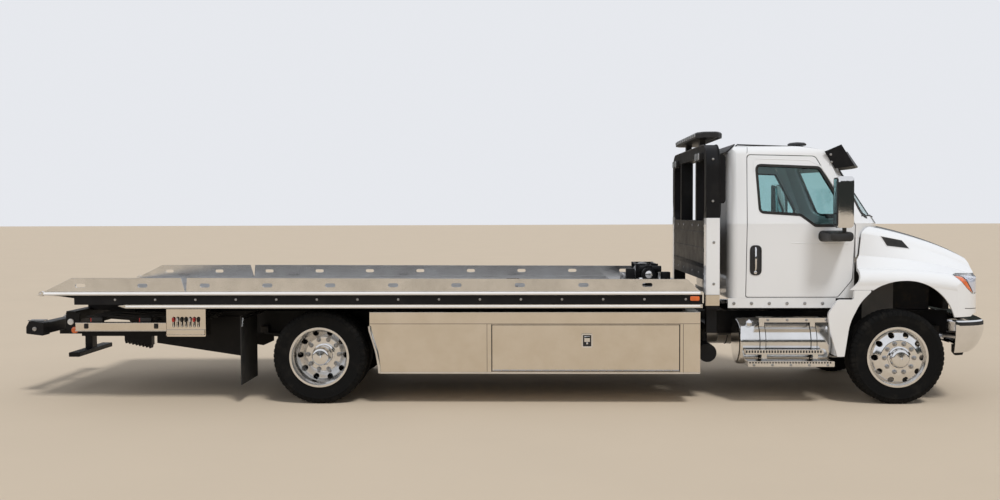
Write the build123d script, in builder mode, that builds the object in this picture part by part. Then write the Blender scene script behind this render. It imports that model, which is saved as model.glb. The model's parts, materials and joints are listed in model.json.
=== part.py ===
from build123d import *
from math import cos, pi, sin
import os

# Flatbed tow truck, in millimetres.
# +X points forward, +Y to the truck's left, +Z up, and z = 0 is the ground.
# Every x that the tables and calls below give is measured from the rear axle.
# The helpers shift it by REAR_AXLE_X, so that the origin is the middle of the truck.

REAR_AXLE_X = -1795
WHEELBASE = 5710
FRONT_AXLE = WHEELBASE

# Wheels and tyres
TYRE_RADIUS = 465
BEAD_RADIUS = 288
AXLE_Z = TYRE_RADIUS
FRONT_TRACK_Y = 1050
DUAL_MIDDLE_Y = 930
DUAL_SPACING = 290
HAND_HOLES = 10
HAND_HOLE_RADIUS = 29
HAND_HOLE_CIRCLE = 228
KINGPIN_Y = 860

# Chassis frame
RAIL_OUTER_Y = 432
RAIL_FLANGE = 77
RAIL_WEB = 9
RAIL_BOTTOM = 620
RAIL_TOP = 860
RAIL_REAR = -2120
RAIL_FRONT = 6480

# Bed: the subframe tilts about its pivot, and the deck slides on the subframe
PIVOT_X = -2200
PIVOT_Z = 830
SUBFRAME_BOTTOM = 870
SUBFRAME_TOP = 992
SUBFRAME_OUTER_Y = 430
DECK_TAIL = -2790
DECK_FRONT = 3780
DECK_HALF_WIDTH = 1295
DECK_TOP = 1115
DECK_UNDERSIDE = 1000
SILL_BOTTOM = 940

# Cab
CAB_BACK = 4080
CAB_FRONT = 5330
CAB_FLOOR = 1035
BELT_Z = 1780
CAB_HALF_WIDTH = 1000
ROOF_HALF_WIDTH = 885
WALL = 50

os.makedirs("parts", exist_ok=True)


def ahead(x):
    """Turn a distance ahead of the rear axle into an x of the model."""
    return REAR_AXLE_X + x


def save(piece, name):
    """Label a finished piece and write its file."""
    piece.part.label = name
    export_step(piece.part, f"parts/{name}.step")


def block(x_low, x_high, y_low, y_high, z_low, z_high, mode=Mode.ADD):
    """Box between two corners."""
    middle = (ahead((x_low + x_high) / 2), (y_low + y_high) / 2, (z_low + z_high) / 2)
    with Locations(middle):
        Box(x_high - x_low, y_high - y_low, z_high - z_low, mode=mode)


def round_corners(outline, points):
    """Round the corners of a flat outline whose points give a third number, the radius."""
    for point in points:
        if len(point) == 3:
            fillet(outline.vertices().sort_by_distance((point[0], point[1], 0))[0], point[2])


def side_plate(points, y_low, y_high, mode=Mode.ADD):
    """Outline of (x, z) points seen from the side, given a thickness along y."""
    corners = [(ahead(point[0]), *point[1:]) for point in points]
    with BuildSketch(Plane.XZ.offset(-y_high)) as outline:
        with BuildLine():
            Polyline(*[corner[:2] for corner in corners], close=True)
        make_face()
        round_corners(outline, corners)
    extrude(outline.sketch, amount=y_high - y_low, mode=mode)


def front_plate(points, x_low, x_high, mode=Mode.ADD):
    """Outline of (y, z) points seen from the front, given a thickness along x."""
    with BuildSketch(Plane.YZ.offset(ahead(x_low))) as outline:
        with BuildLine():
            Polyline(*[point[:2] for point in points], close=True)
        make_face()
        round_corners(outline, points)
    extrude(outline.sketch, amount=x_high - x_low, mode=mode)


def plan_plate(points, z_low, z_high, mode=Mode.ADD):
    """Outline of (x, y) points seen from above, given a height."""
    corners = [(ahead(point[0]), *point[1:]) for point in points]
    with BuildSketch(Plane.XY.offset(z_low)) as outline:
        with BuildLine():
            Polyline(*[corner[:2] for corner in corners], close=True)
        make_face()
        round_corners(outline, corners)
    extrude(outline.sketch, amount=z_high - z_low, mode=mode)


def both_sides(low, high):
    """The y range of a piece on the right side, then on the left."""
    return ((-high, -low), (low, high))


def bar(start, end, radius, mode=Mode.ADD):
    """Round bar between two points."""
    first = Vector(ahead(start[0]), start[1], start[2])
    last = Vector(ahead(end[0]), end[1], end[2])
    with BuildSketch(Plane(origin=first, z_dir=last - first)) as section:
        Circle(radius)
    extrude(section.sketch, amount=(last - first).length, mode=mode)


def mirrored(points):
    """Half outline of (y, z) points and its mirror image, as one closed outline."""
    return points + [(-point[0], *point[1:]) for point in reversed(points) if point[0]]


def other_side(piece):
    """The same piece on the truck's other side."""
    with BuildPart() as copy:
        mirror(piece.part, about=Plane.XZ)
    return copy


def wheel_revolve(profile, side, y_middle, x_axle, mode=Mode.ADD):
    """Turn a profile of (radius, outward distance) points round an axle."""
    axle = Axis((ahead(x_axle), 0, AXLE_Z), (0, 1, 0))
    points = [(side * (y_middle + point[1]), AXLE_Z + point[0], *point[2:]) for point in profile]
    with BuildSketch(Plane(origin=(ahead(x_axle), 0, 0), x_dir=(0, 1, 0), z_dir=(1, 0, 0))) as outline:
        with BuildLine():
            Polyline(*[point[:2] for point in points], close=True)
        make_face()
        round_corners(outline, points)
    revolve(outline.sketch, axis=axle, mode=mode)


def wheel_holes(side, x_axle, radius, circle, count, y_low, y_high):
    """Ring of holes through a wheel disc."""
    for index in range(count):
        angle = 2 * pi * (index + 0.5) / count
        x = x_axle + circle * sin(angle)
        z = AXLE_Z + circle * cos(angle)
        bar((x, side * y_low, z), (x, side * y_high, z), radius, Mode.SUBTRACT)


# Tyre section: radius, distance outward from the tyre's middle, and the rounding of bulge and shoulder
TYRE_SECTION = [
    (BEAD_RADIUS, -100), (385, -128, 90), (455, -112, 14), (TYRE_RADIUS, -60),
    (TYRE_RADIUS, 60), (455, 112, 14), (385, 128, 90), (BEAD_RADIUS, 100),
]


# Rim section: barrel with its two flanges
RIM_SECTION = [
    (BEAD_RADIUS, -99), (BEAD_RADIUS, -108), (299, -112), (299, -119), (278, -119), (272, -100),
    (262, -60), (262, 60), (272, 100), (278, 119), (299, 119), (299, 112), (BEAD_RADIUS, 108),
    (BEAD_RADIUS, 99), (274, 70), (274, -70),
]

# Front wheel web: bulges outward past the tyre
FRONT_WEB = [
    (270, 62), (270, 80), (240, 124, 40), (175, 152, 30), (60, 152), (60, 132), (170, 132, 12), (232, 98, 24),
]
FRONT_HUB = [(0, 60), (0, 216), (84, 208, 30), (100, 153), (100, 60)]
# Rear outer wheel web: dished inward to the middle of the twin wheels
REAR_WEB = [
    (270, -40), (270, -62), (225, -96, 24), (170, -130, 12), (60, -130), (60, -112), (175, -112, 30),
    (238, -72, 40),
]
REAR_HUB = [(0, -260), (0, 80), (84, 70, 30), (98, 10), (98, -111), (98, -260)]
BRAKE_DRUM = [(60, -395), (205, -395), (205, -150), (60, -150)]

with BuildPart() as front_tyre:
    wheel_revolve(TYRE_SECTION, -1, FRONT_TRACK_Y, FRONT_AXLE)
save(front_tyre, "front_tyre_right")
save(other_side(front_tyre), "front_tyre_left")

with BuildPart() as front_rim:
    wheel_revolve(RIM_SECTION, -1, FRONT_TRACK_Y, FRONT_AXLE)
    wheel_revolve(FRONT_WEB, -1, FRONT_TRACK_Y, FRONT_AXLE)
    wheel_holes(-1, FRONT_AXLE, HAND_HOLE_RADIUS, HAND_HOLE_CIRCLE, HAND_HOLES, 1080, 1240)
    wheel_revolve(FRONT_HUB, -1, FRONT_TRACK_Y, FRONT_AXLE)
save(front_rim, "front_rim_right")
save(other_side(front_rim), "front_rim_left")

with BuildPart() as rear_tyres:
    for tyre_y in (DUAL_MIDDLE_Y - DUAL_SPACING / 2, DUAL_MIDDLE_Y + DUAL_SPACING / 2):
        wheel_revolve(TYRE_SECTION, -1, tyre_y, 0)
save(rear_tyres, "rear_tyres_right")
save(other_side(rear_tyres), "rear_tyres_left")

OUTER_DUAL_Y = DUAL_MIDDLE_Y + DUAL_SPACING / 2
INNER_DUAL_Y = DUAL_MIDDLE_Y - DUAL_SPACING / 2
with BuildPart() as rear_rims:
    wheel_revolve(RIM_SECTION, -1, OUTER_DUAL_Y, 0)
    wheel_revolve(REAR_WEB, -1, OUTER_DUAL_Y, 0)
    wheel_holes(-1, 0, HAND_HOLE_RADIUS, HAND_HOLE_CIRCLE, HAND_HOLES, 940, 1075)
    wheel_revolve(RIM_SECTION, -1, INNER_DUAL_Y, 0)
    inner_web = [(point[0], -point[1], *point[2:]) for point in REAR_WEB]
    wheel_revolve(inner_web, -1, INNER_DUAL_Y, 0)
    wheel_revolve(REAR_HUB, -1, OUTER_DUAL_Y, 0)
    wheel_revolve(BRAKE_DRUM, -1, OUTER_DUAL_Y, 0)
save(rear_rims, "rear_rims_right")
save(other_side(rear_rims), "rear_rims_left")

# Steering knuckle: kingpin boss, brake drum, stub axle and steering arm
ARM_BACK = 170
TIE_ROD_Z = 400
with BuildPart() as knuckle:
    bar((FRONT_AXLE, -KINGPIN_Y, 385), (FRONT_AXLE, -KINGPIN_Y, 408), 48)
    bar((FRONT_AXLE, -KINGPIN_Y, 522), (FRONT_AXLE, -KINGPIN_Y, 545), 48)
    block(FRONT_AXLE - 50, FRONT_AXLE + 50, -935, -912, 385, 545)
    block(FRONT_AXLE - 30, FRONT_AXLE + 30, -920, -860, 385, 408)
    block(FRONT_AXLE - 30, FRONT_AXLE + 30, -920, -860, 522, 545)
    bar((FRONT_AXLE, -934, AXLE_Z), (FRONT_AXLE, -1060, AXLE_Z), 200)
    bar((FRONT_AXLE, -1059, AXLE_Z), (FRONT_AXLE, -1109, AXLE_Z), 55)
    block(FRONT_AXLE - ARM_BACK - 25, FRONT_AXLE - 20, -KINGPIN_Y - 25, -KINGPIN_Y + 15, 385, 408)
save(knuckle, "knuckle_right")
save(other_side(knuckle), "knuckle_left")

with BuildPart() as tie_rod:
    bar((FRONT_AXLE - ARM_BACK, -KINGPIN_Y + 60, 360), (FRONT_AXLE - ARM_BACK, KINGPIN_Y - 60, 360), 20)
    for side in (-1, 1):
        end_y = side * KINGPIN_Y
        bar((FRONT_AXLE - ARM_BACK, end_y - side * 62, 360), (FRONT_AXLE - ARM_BACK, end_y, 360), 20)
        bar((FRONT_AXLE - ARM_BACK, end_y, 342), (FRONT_AXLE - ARM_BACK, end_y, 379), 22)
save(tie_rod, "tie_rod")

# Leaf pack on each side of an axle
# x and half length along the truck, y of its middle, z of its underside, number of leaves
FRONT_SPRING = {"x": FRONT_AXLE, "half": 620, "y": 480, "z": 470, "leaves": 2}
REAR_SPRING = {"x": 0, "half": 720, "y": 490, "z": 540, "leaves": 4}
LEAF = 16
LEAF_HALF_WIDTH = 35
LEAF_CAMBER = 34


def leaf_packs(pack):
    """Both leaf packs of an axle, with the hangers that join them to the frame rails."""
    for side in (-1, 1):
        middle = side * pack["y"]
        for leaf in range(pack["leaves"]):
            length = pack["half"] * (0.5 + 0.5 * (leaf + 1) / pack["leaves"])
            bottom = pack["z"] + leaf * LEAF
            rise = LEAF_CAMBER * (length / pack["half"]) ** 2
            with BuildSketch(Plane.XZ.offset(-middle - LEAF_HALF_WIDTH)) as blade:
                with BuildLine():
                    x = ahead(pack["x"])
                    for z in (bottom, bottom + LEAF):
                        ThreePointArc((x - length, z + rise), (x, z), (x + length, z + rise))
                    for end in (-length, length):
                        Line((x + end, bottom + rise), (x + end, bottom + LEAF + rise))
                make_face()
            extrude(blade.sketch, amount=2 * LEAF_HALF_WIDTH)
        top = pack["z"] + pack["leaves"] * LEAF + LEAF_CAMBER
        hanger_y = sorted((side * RAIL_OUTER_Y, middle + side * LEAF_HALF_WIDTH))
        for end in (-1, 1):
            x = pack["x"] + end * pack["half"]
            block(x - 40, x + 40, hanger_y[0], hanger_y[1], top - 1, 700)


# Front axle beam: dropped in the middle, with the kingpin eyes at its ends
FRONT_BEAM = [
    (KINGPIN_Y + 25, 415), (KINGPIN_Y + 25, 515), (KINGPIN_Y - 60, 515), (640, 470), (0, 470),
    (0, 385), (640, 385), (KINGPIN_Y - 60, 415),
]
with BuildPart() as front_axle:
    front_plate(FRONT_BEAM, FRONT_AXLE - 45, FRONT_AXLE + 45)
    front_plate([(-y, z) for y, z in FRONT_BEAM], FRONT_AXLE - 45, FRONT_AXLE + 45)
    for web_x in (FRONT_AXLE - 46, FRONT_AXLE + 18):
        block(web_x, web_x + 28, -600, 600, 402, 452, Mode.SUBTRACT)
    leaf_packs(FRONT_SPRING)
save(front_axle, "front_axle")

with BuildPart() as rear_axle:
    bar((0, -620, AXLE_Z), (0, 620, AXLE_Z), 68)
    with Locations((ahead(0), 0, AXLE_Z)):
        Sphere(185)
    block(-95, 95, -175, 175, 335, 595)
    bar((150, 0, AXLE_Z), (290, 0, AXLE_Z + 10), 70)
    for side in (-1, 1):
        block(-70, 70, side * 490 - 45, side * 490 + 45, 390, 541)
    leaf_packs(REAR_SPRING)
save(rear_axle, "rear_axle")

# Frame rails: channels that open inward
with BuildPart() as frame_rails:
    for side in (-1, 1):
        outer = side * RAIL_OUTER_Y
        inner = side * (RAIL_OUTER_Y - RAIL_FLANGE)
        web = side * (RAIL_OUTER_Y - RAIL_WEB)
        block(RAIL_REAR, RAIL_FRONT, min(outer, inner), max(outer, inner), RAIL_BOTTOM, RAIL_TOP)
        block(
            RAIL_REAR, RAIL_FRONT, min(web, inner), max(web, inner),
            RAIL_BOTTOM + RAIL_WEB, RAIL_TOP - RAIL_WEB, Mode.SUBTRACT,
        )
save(frame_rails, "frame_rails")

# Cross-members between the rail webs
CROSS_MEMBERS = [-1720, -700, 620, 1500, 2400, 3300, 4150, 6380]
CROSS_MEMBER_SIZE = 80
with BuildPart() as cross_members:
    for x in CROSS_MEMBERS:
        reach = RAIL_OUTER_Y - RAIL_WEB
        block(x, x + CROSS_MEMBER_SIZE, -reach, reach, RAIL_TOP - 130, RAIL_TOP - 30)
save(cross_members, "cross_members")

# Engine as one plain block, and the radiator that shows through the grille
with BuildPart() as engine:
    block(5346, 6340, -300, 300, 560, 1330)
    block(6440, 6500, -420, 420, 870, 1320)
save(engine, "engine")

with BuildPart() as drive_line:
    block(4700, 5345, -190, 190, 600, 960)
    bar((4701, 0, 640), (4500, 0, 640), 75)
    bar((4520, 0, 640), (2500, 0, 590), 50)
    bar((2560, 0, 590), (2460, 0, 590), 72)
    bar((2500, 0, 590), (300, 0, 478), 46)
save(drive_line, "drive_line")

with BuildPart() as exhaust:
    bar((4200, 240, 560), (3100, 240, 560), 120)
    fillet(exhaust.edges().filter_by(GeomType.CIRCLE), 30)
    bar((3101, 240, 560), (900, 240, 560), 50)
    bar((4199, 260, 560), (4650, 260, 560), 45)
save(exhaust, "exhaust")

# Fuel tanks with their two straps and brackets to the frame
TANK_RADIUS = 233
TANK_Y = 817
TANK_Z = 587
TANK_X = (4190, 5100)
TANK_STRAPS = (4420, 4925)
STRAP_RADIUS = TANK_RADIUS + 5
with BuildPart() as fuel_tanks:
    for side in (-1, 1):
        with BuildPart(mode=Mode.PRIVATE) as tank:
            bar((TANK_X[0], side * TANK_Y, TANK_Z), (TANK_X[1], side * TANK_Y, TANK_Z), TANK_RADIUS)
            fillet(tank.edges().filter_by(GeomType.CIRCLE), 30)
        add(tank.part)
        for x in TANK_STRAPS:
            bar((x - 28, side * TANK_Y, TANK_Z), (x + 28, side * TANK_Y, TANK_Z), STRAP_RADIUS)
            inner = sorted((side * RAIL_OUTER_Y, side * (TANK_Y - 190)))
            block(x - 28, x + 28, inner[0], inner[1], 640, 700)
        bar((4297, side * 946, 771), (4297, side * 969, 804), 38)
save(fuel_tanks, "fuel_tanks")

# Steps: x range, y range, z range
STEPS = [
    {"x": (4362, 5075), "y": (960, 1120), "z": (805, 850)},
    {"x": (4228, 4995), "y": (1062, 1140), "z": (489, 535)},
    {"x": (4240, 5086), "y": (1000, 1200), "z": (376, 430)},
]
# Brackets: y range and z range; they stand on the tank's straps or between the steps
STEP_BRACKETS = [
    {"y": (965, 990), "z": (720, 806)},
    {"y": (1000, 1063), "z": (495, 525)},
    {"y": (1088, 1110), "z": (429, 490)},
]
with BuildPart() as cab_steps:
    for side in (-1, 1):
        for x in TANK_STRAPS:
            for bracket in STEP_BRACKETS:
                y = sorted((side * bracket["y"][0], side * bracket["y"][1]))
                block(x - 25, x + 25, y[0], y[1], bracket["z"][0], bracket["z"][1])
            bar((x - 28, side * TANK_Y, TANK_Z), (x + 28, side * TANK_Y, TANK_Z), STRAP_RADIUS, Mode.SUBTRACT)
        for step in STEPS:
            y = sorted((side * step["y"][0], side * step["y"][1]))
            side_plate(
                [
                    (step["x"][0], step["z"][0], 8), (step["x"][1], step["z"][0], 8),
                    (step["x"][1], step["z"][1], 8), (step["x"][0], step["z"][1], 8),
                ],
                y[0], y[1],
            )
save(cab_steps, "cab_steps")

# Sill plates that hang from the cab floor's edge
with BuildPart() as sill_plates:
    for side in (-1, 1):
        y = sorted((side * 988, side * 1000))
        block(4080, 5150, y[0], y[1], 937, CAB_FLOOR)
        y = sorted((side * 900, side * 989))
        for x in (4200, 4950):
            block(x, x + 60, y[0], y[1], 1000, CAB_FLOOR)
save(sill_plates, "sill_plates")

# Bumper: pressed chrome band, bowed across the front and wrapped round the corners
# Height of each plan section, and how far the face leans back there
BUMPER_SECTIONS = [(500, 118), (590, 44), (690, 8), (780, 0), (822, 14)]
BUMPER_REAR = 6285
# Half outline of what is cut out behind the lips that its edges turn in
BUMPER_OPENING = [(6200, 1050), (6330, 1040, 60), (6470, 880, 150), (6560, 300)]
BUMPER_SKIN = 12


def bumper_body(inset):
    """Solid bumper through its plan sections."""
    plans = []
    for height, back in BUMPER_SECTIONS:
        z = height + inset * (1 if height < 600 else -1 if height > 800 else 0)
        half = 1135 - inset - back / 3
        front = back + inset
        with BuildSketch(Plane.XY.offset(z)) as plan:
            with BuildLine():
                Line((ahead(BUMPER_REAR), -half), (ahead(BUMPER_REAR), half))
                for side in (-1, 1):
                    ThreePointArc(
                        (ahead(BUMPER_REAR), side * half),
                        (ahead(6480 - front * 0.8), side * (half - 38)),
                        (ahead(6620 - front), side * (half - 150)),
                    )
                ThreePointArc(
                    (ahead(6620 - front), 150 - half), (ahead(6762 - front), 0), (ahead(6620 - front),
                    half - 150)
                )
            make_face()
        plans.append(plan.sketch)
    loft(plans)


with BuildPart() as front_bumper:
    bumper_body(0)
    with BuildPart(mode=Mode.PRIVATE) as bumper_hollow:
        bumper_body(BUMPER_SKIN)
    add(bumper_hollow.part, mode=Mode.SUBTRACT)
    left_half = [(x, -y, *radius) for x, y, *radius in reversed(BUMPER_OPENING)]
    plan_plate(BUMPER_OPENING + left_half, 400, 900, Mode.SUBTRACT)
    with BuildPart(mode=Mode.PRIVATE) as bumper_arms:
        bumper_body(BUMPER_SKIN / 2)
        with BuildPart(mode=Mode.PRIVATE) as arm_blocks:
            for y in both_sides(350, 425):
                block(6480, 6800, y[0], y[1], 640, 760)
        add(arm_blocks.part, mode=Mode.INTERSECT)
    add(bumper_arms.part)
save(front_bumper, "front_bumper")

# Cab
# Plan sections of the cab: the windscreen bows forward between its corners
def cab_section(z, back, corner, apex, half_width, inset=0):
    """Plan outline of the cab at a height, with rounded rear corners and a bowed front."""
    side_y = half_width - inset
    rear_x = ahead(back + inset)
    radius = CAB_CORNER - inset
    bulge = radius * (1 - cos(pi / 4))
    with BuildSketch(Plane.XY.offset(z)) as section:
        with BuildLine():
            Line((rear_x, radius - side_y), (rear_x, side_y - radius))
            for side in (-1, 1):
                ThreePointArc(
                    (rear_x, side * (side_y - radius)),
                    (rear_x + bulge, side * (side_y - bulge)),
                    (rear_x + radius, side * side_y),
                )
                Line((rear_x + radius, side * side_y), (ahead(corner), side * side_y))
            ThreePointArc((ahead(corner), -side_y), (ahead(apex - inset), 0), (ahead(corner), side_y))
        make_face()
    return section.sketch


CAB_CORNER = 95
WINDSCREEN_BASE_APEX = 5800
WINDSCREEN_CORNER = 5340
ROOF_CORNER = 5030
ROOF_APEX = 5230
ROOF_SECTION_Z = 2620


def cab_upper(inset):
    """Cab above the belt line, from its belt section to a section just over the roof."""
    loft(
        [
            cab_section(BELT_Z, CAB_BACK, WINDSCREEN_CORNER, WINDSCREEN_BASE_APEX, CAB_HALF_WIDTH, inset),
            cab_section(ROOF_SECTION_Z, CAB_BACK + 30, ROOF_CORNER, ROOF_APEX, ROOF_HALF_WIDTH, inset),
        ],
        ruled=True,
    )


def roof_line(inset):
    """Side outline that trims the roof."""
    return [
        (3900, 900), (3900, 2400 - inset), (CAB_BACK + 22, 2500 - inset, 60), (4190, 2586 - inset, 60),
        (4840, 2556 - inset, 900), (5170, 2500 - inset, 260), (5330, 2380 - inset),
        (6000, 1800), (6000, 900),
    ]


def cab_width(inset):
    """Front outline of the cab's side walls and roof corners, as half an outline."""
    half = CAB_HALF_WIDTH - inset
    return [
        (half, 900), (half, BELT_Z), (893 - inset, 2535 - inset, 110), (700 - inset, 2625 - inset, 300),
        (0, 2650 - inset),
    ]


COWL_BOTTOM = 1640
with BuildPart() as cab_outer:
    extrude(
        cab_section(CAB_FLOOR, CAB_BACK, CAB_FRONT, CAB_FRONT + 1, CAB_HALF_WIDTH),
        amount=BELT_Z - CAB_FLOOR,
    )
    extrude(
        cab_section(COWL_BOTTOM, CAB_BACK, WINDSCREEN_CORNER, WINDSCREEN_BASE_APEX, CAB_HALF_WIDTH),
        amount=BELT_Z - COWL_BOTTOM,
    )
    cab_upper(0)
    side_plate(roof_line(0), -1100, 1100, Mode.INTERSECT)
    front_plate(mirrored(cab_width(0)), 3900, 6000, Mode.INTERSECT)

# Door outline, and the same outline grown by the gap round the door
DOOR = [
    (4260, 1048, 20), (4285, 2470, 36), (4960, 2452, 60), (5290, 1830, 80), (5336, 1760, 60),
    (5310, 1220, 90), (5168, 1048, 30),
]
DOOR_OPENING = [
    (4253, 1041, 20), (4278, 2477, 36), (4966, 2459, 60), (5300, 1832, 80), (5345, 1760, 60),
    (5319, 1217, 90), (5172, 1041, 30),
]
SIDE_WINDOW = [
    (4400, 1895, 60), (4372, 2370, 30), (5000, 2342, 40), (5238, 1925, 40), (5250, 1760, 20),
    (4945, 1758, 60),
    (4800, 1868, 120),
]
WINDSCREEN = [(830, 1850, 70), (740, 2405, 60)]
REAR_WINDOW = [(560, 1850, 60), (540, 2330, 60)]
PILLAR_INNER = 75
with BuildPart() as cab_shell:
    add(cab_outer.part)
    with BuildPart(mode=Mode.PRIVATE) as cab_room:
        extrude(
            cab_section(CAB_FLOOR + 40, CAB_BACK, CAB_FRONT - WALL, CAB_FRONT + 1, CAB_HALF_WIDTH, WALL),
            amount=BELT_Z - CAB_FLOOR - 40,
        )
        cab_upper(WALL)
        side_plate(roof_line(WALL), -1100, 1100, Mode.INTERSECT)
        front_plate(mirrored(cab_width(WALL)), 3900, 6000, Mode.INTERSECT)
    add(cab_room.part, mode=Mode.SUBTRACT)
    for low, high in ((-1010, -700), (700, 1010)):
        with BuildPart(mode=Mode.PRIVATE) as door_gap:
            side_plate(DOOR_OPENING, low, high)
            front_plate(mirrored(cab_width(PILLAR_INNER)), 3900, 6000, Mode.SUBTRACT)
        add(door_gap.part, mode=Mode.SUBTRACT)
    front_plate(mirrored(WINDSCREEN), 5050, 6000, Mode.SUBTRACT)
    front_plate(mirrored(REAR_WINDOW), 4000, 4300, Mode.SUBTRACT)
save(cab_shell, "cab_shell")

with BuildPart() as cab_glass:
    cab_upper(14)
    with BuildPart(mode=Mode.PRIVATE) as behind_glass:
        cab_upper(22)
    add(behind_glass.part, mode=Mode.SUBTRACT)
    front_plate(mirrored(WINDSCREEN), 5050, 6000, Mode.INTERSECT)
    front_plate(mirrored(REAR_WINDOW), 4100, 4108)
save(cab_glass, "cab_glass")

with BuildPart() as door:
    add(cab_outer.part)
    side_plate(DOOR, -1010, -700, Mode.INTERSECT)
    front_plate(mirrored(cab_width(WALL)), 3900, 6000, Mode.SUBTRACT)
    side_plate(SIDE_WINDOW, -1010, -700, Mode.SUBTRACT)
save(door, "door_right")
save(other_side(door), "door_left")

with BuildPart() as door_glass:
    side_plate(SIDE_WINDOW, -1010, -700)
    front_plate(mirrored(cab_width(18)), 3900, 6000, Mode.INTERSECT)
    front_plate(mirrored(cab_width(26)), 3900, 6000, Mode.SUBTRACT)
save(door_glass, "door_glass_right")
save(other_side(door_glass), "door_glass_left")

MIRROR_OUT = -1350
with BuildPart() as door_mirror:
    plan_plate(
        [(5060, -1215, 20), (5235, -1215, 60), (5215, MIRROR_OUT, 50), (5085, MIRROR_OUT, 20)], 1740, 2240,
    )
    side_plate(
        [(5050, 1735, 30), (5240, 1735, 60), (5240, 2245, 60), (5050, 2245, 30)],
        MIRROR_OUT, -1200, Mode.INTERSECT,
    )
    plan_plate([(5000, -1001), (5235, -1001), (5225, -1300, 60), (5060, -1300, 60)], 1610, 1700)
    bar((5150, -1250, 1699), (5150, -1250, 1745), 25)
save(door_mirror, "mirror_right")
save(other_side(door_mirror), "mirror_left")

SEAT_Y = 480
with BuildPart() as seats:
    for side in (-1, 1):
        y_low = side * SEAT_Y - 250
        y_high = side * SEAT_Y + 250
        side_plate(
            [(4290, 1340), (4780, 1345, 20), (4830, 1400, 40), (4780, 1465, 40), (4300, 1450)], y_low, y_high,
        )
        side_plate([(4200, 1380), (4340, 1380, 30), (4275, 2020, 40), (4150, 2050, 40)], y_low, y_high)
        block(4155, 4235, y_low + 120, y_high - 120, 2040, 2200)
        block(4350, 4700, y_low + 60, y_high - 60, 1075, 1350)
save(seats, "seats")

# Dashboard with the steering column and wheel
STEERING_WHEEL = (4860, 480, 1700)
STEERING_TILT = (-0.75, 0, 0.66)
with BuildPart() as dashboard:
    side_plate(
        [(5275, 1230), (5275, 1740, 20), (5040, 1715, 70), (4955, 1560, 60), (5060, 1230, 40)], -900, 900,
    )
    centre = (ahead(STEERING_WHEEL[0]), STEERING_WHEEL[1], STEERING_WHEEL[2])
    with Locations(Plane(origin=centre, z_dir=STEERING_TILT).location):
        Torus(215, 16)
        Box(60, 410, 14)
        Cylinder(60, 40)
    bar((4862, 480, 1698), (5030, 480, 1548), 28)
save(dashboard, "dashboard")

# Sun visor: bowed peak over the windscreen with two cheeks
VISOR_CHEEK = [(5050, 2500), (5215, 2570), (5347, 2357), (5157, 2328)]
with BuildPart() as sun_visor:
    for inset, mode in ((0, Mode.ADD), (8, Mode.SUBTRACT)):
        upper = cab_section(2570 + 3 * inset, 5000, 5215, 5420, 930, inset)
        lower = cab_section(2357 - 3 * inset, 5000, 5347, 5580, 930, inset)
        loft([upper, lower], ruled=True, mode=mode)
    block(4900, 5216, -940, 940, 2300, 2600, Mode.SUBTRACT)
    for low in (-930, 922):
        side_plate(VISOR_CHEEK, low, low + 8)
save(sun_visor, "sun_visor")

# Hood and front fenders: one tilting piece, lofted through five stations
# x; half width of the fender and height of its shoulder; waist, where the fender meets the hood's side;
# edge, where that side turns over into the crown; and the crown's height in the middle
HOOD_STATIONS = [
    {"x": 5200, "fender": 1180, "shoulder": 1240, "waist": (1000, 1480), "edge": (975, 1700), "crown": 1822},
    {"x": 5520, "fender": 1180, "shoulder": 1245, "waist": (975, 1450), "edge": (938, 1665), "crown": 1800},
    {"x": 6000, "fender": 1180, "shoulder": 1225, "waist": (900, 1400), "edge": (800, 1545), "crown": 1700},
    {"x": 6400, "fender": 1160, "shoulder": 1165, "waist": (820, 1320), "edge": (680, 1420), "crown": 1570},
    {"x": 6740, "fender": 1110, "shoulder": 1085, "waist": (720, 1200), "edge": (560, 1270), "crown": 1400},
]
HOOD_SKIN = 25
HOOD_GAP = 15
SHOULDER = {"below": 70, "out": 30, "above": 45, "in": 120, "rise": 88}
CROWN_TURN = {"mid": (38, 0.34), "end": (120, 0.62)}
# Height of each plan section of the nose, and how far the nose leans back there
NOSE_SECTIONS = [(1190, 0), (1300, 6), (1380, 32), (1470, 112), (1560, 250), (1680, 520)]
NOSE_SIDE = 1190


def hood_section(station, inset, bottom):
    """Section across the hood: fender side, rounded shoulder, hood side and arched crown."""
    fender = station["fender"] - inset
    shoulder = station["shoulder"] - inset
    waist = (station["waist"][0] - inset, station["waist"][1] - inset)
    edge = (station["edge"][0] - inset, station["edge"][1] - inset)
    crown = station["crown"] - inset
    turn_end = (edge[0] - CROWN_TURN["end"][0], edge[1] + CROWN_TURN["end"][1] * (crown - edge[1]))
    turn_mid = (edge[0] - CROWN_TURN["mid"][0], edge[1] + CROWN_TURN["mid"][1] * (crown - edge[1]))
    low = shoulder - SHOULDER["below"]
    shelf = (fender - SHOULDER["in"], shoulder + SHOULDER["rise"])
    with BuildSketch(Plane.YZ.offset(ahead(station["x"]))) as section:
        with BuildLine():
            Line((-fender, bottom), (fender, bottom))
            for side in (-1, 1):
                Line((side * fender, bottom), (side * fender, low))
                ThreePointArc(
                    (side * fender, low), (side * (fender - SHOULDER["out"]), shoulder + SHOULDER["above"]),
                    (side * shelf[0], shelf[1]),
                )
                Line((side * shelf[0], shelf[1]), (side * waist[0], waist[1]))
                Line((side * waist[0], waist[1]), (side * edge[0], edge[1]))
                ThreePointArc(
                    (side * edge[0], edge[1]), (side * turn_mid[0], turn_mid[1]),
                    (side * turn_end[0], turn_end[1]),
                )
            ThreePointArc(turn_end, (0, crown), (-turn_end[0], turn_end[1]))
        make_face()
    return section.sketch


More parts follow.
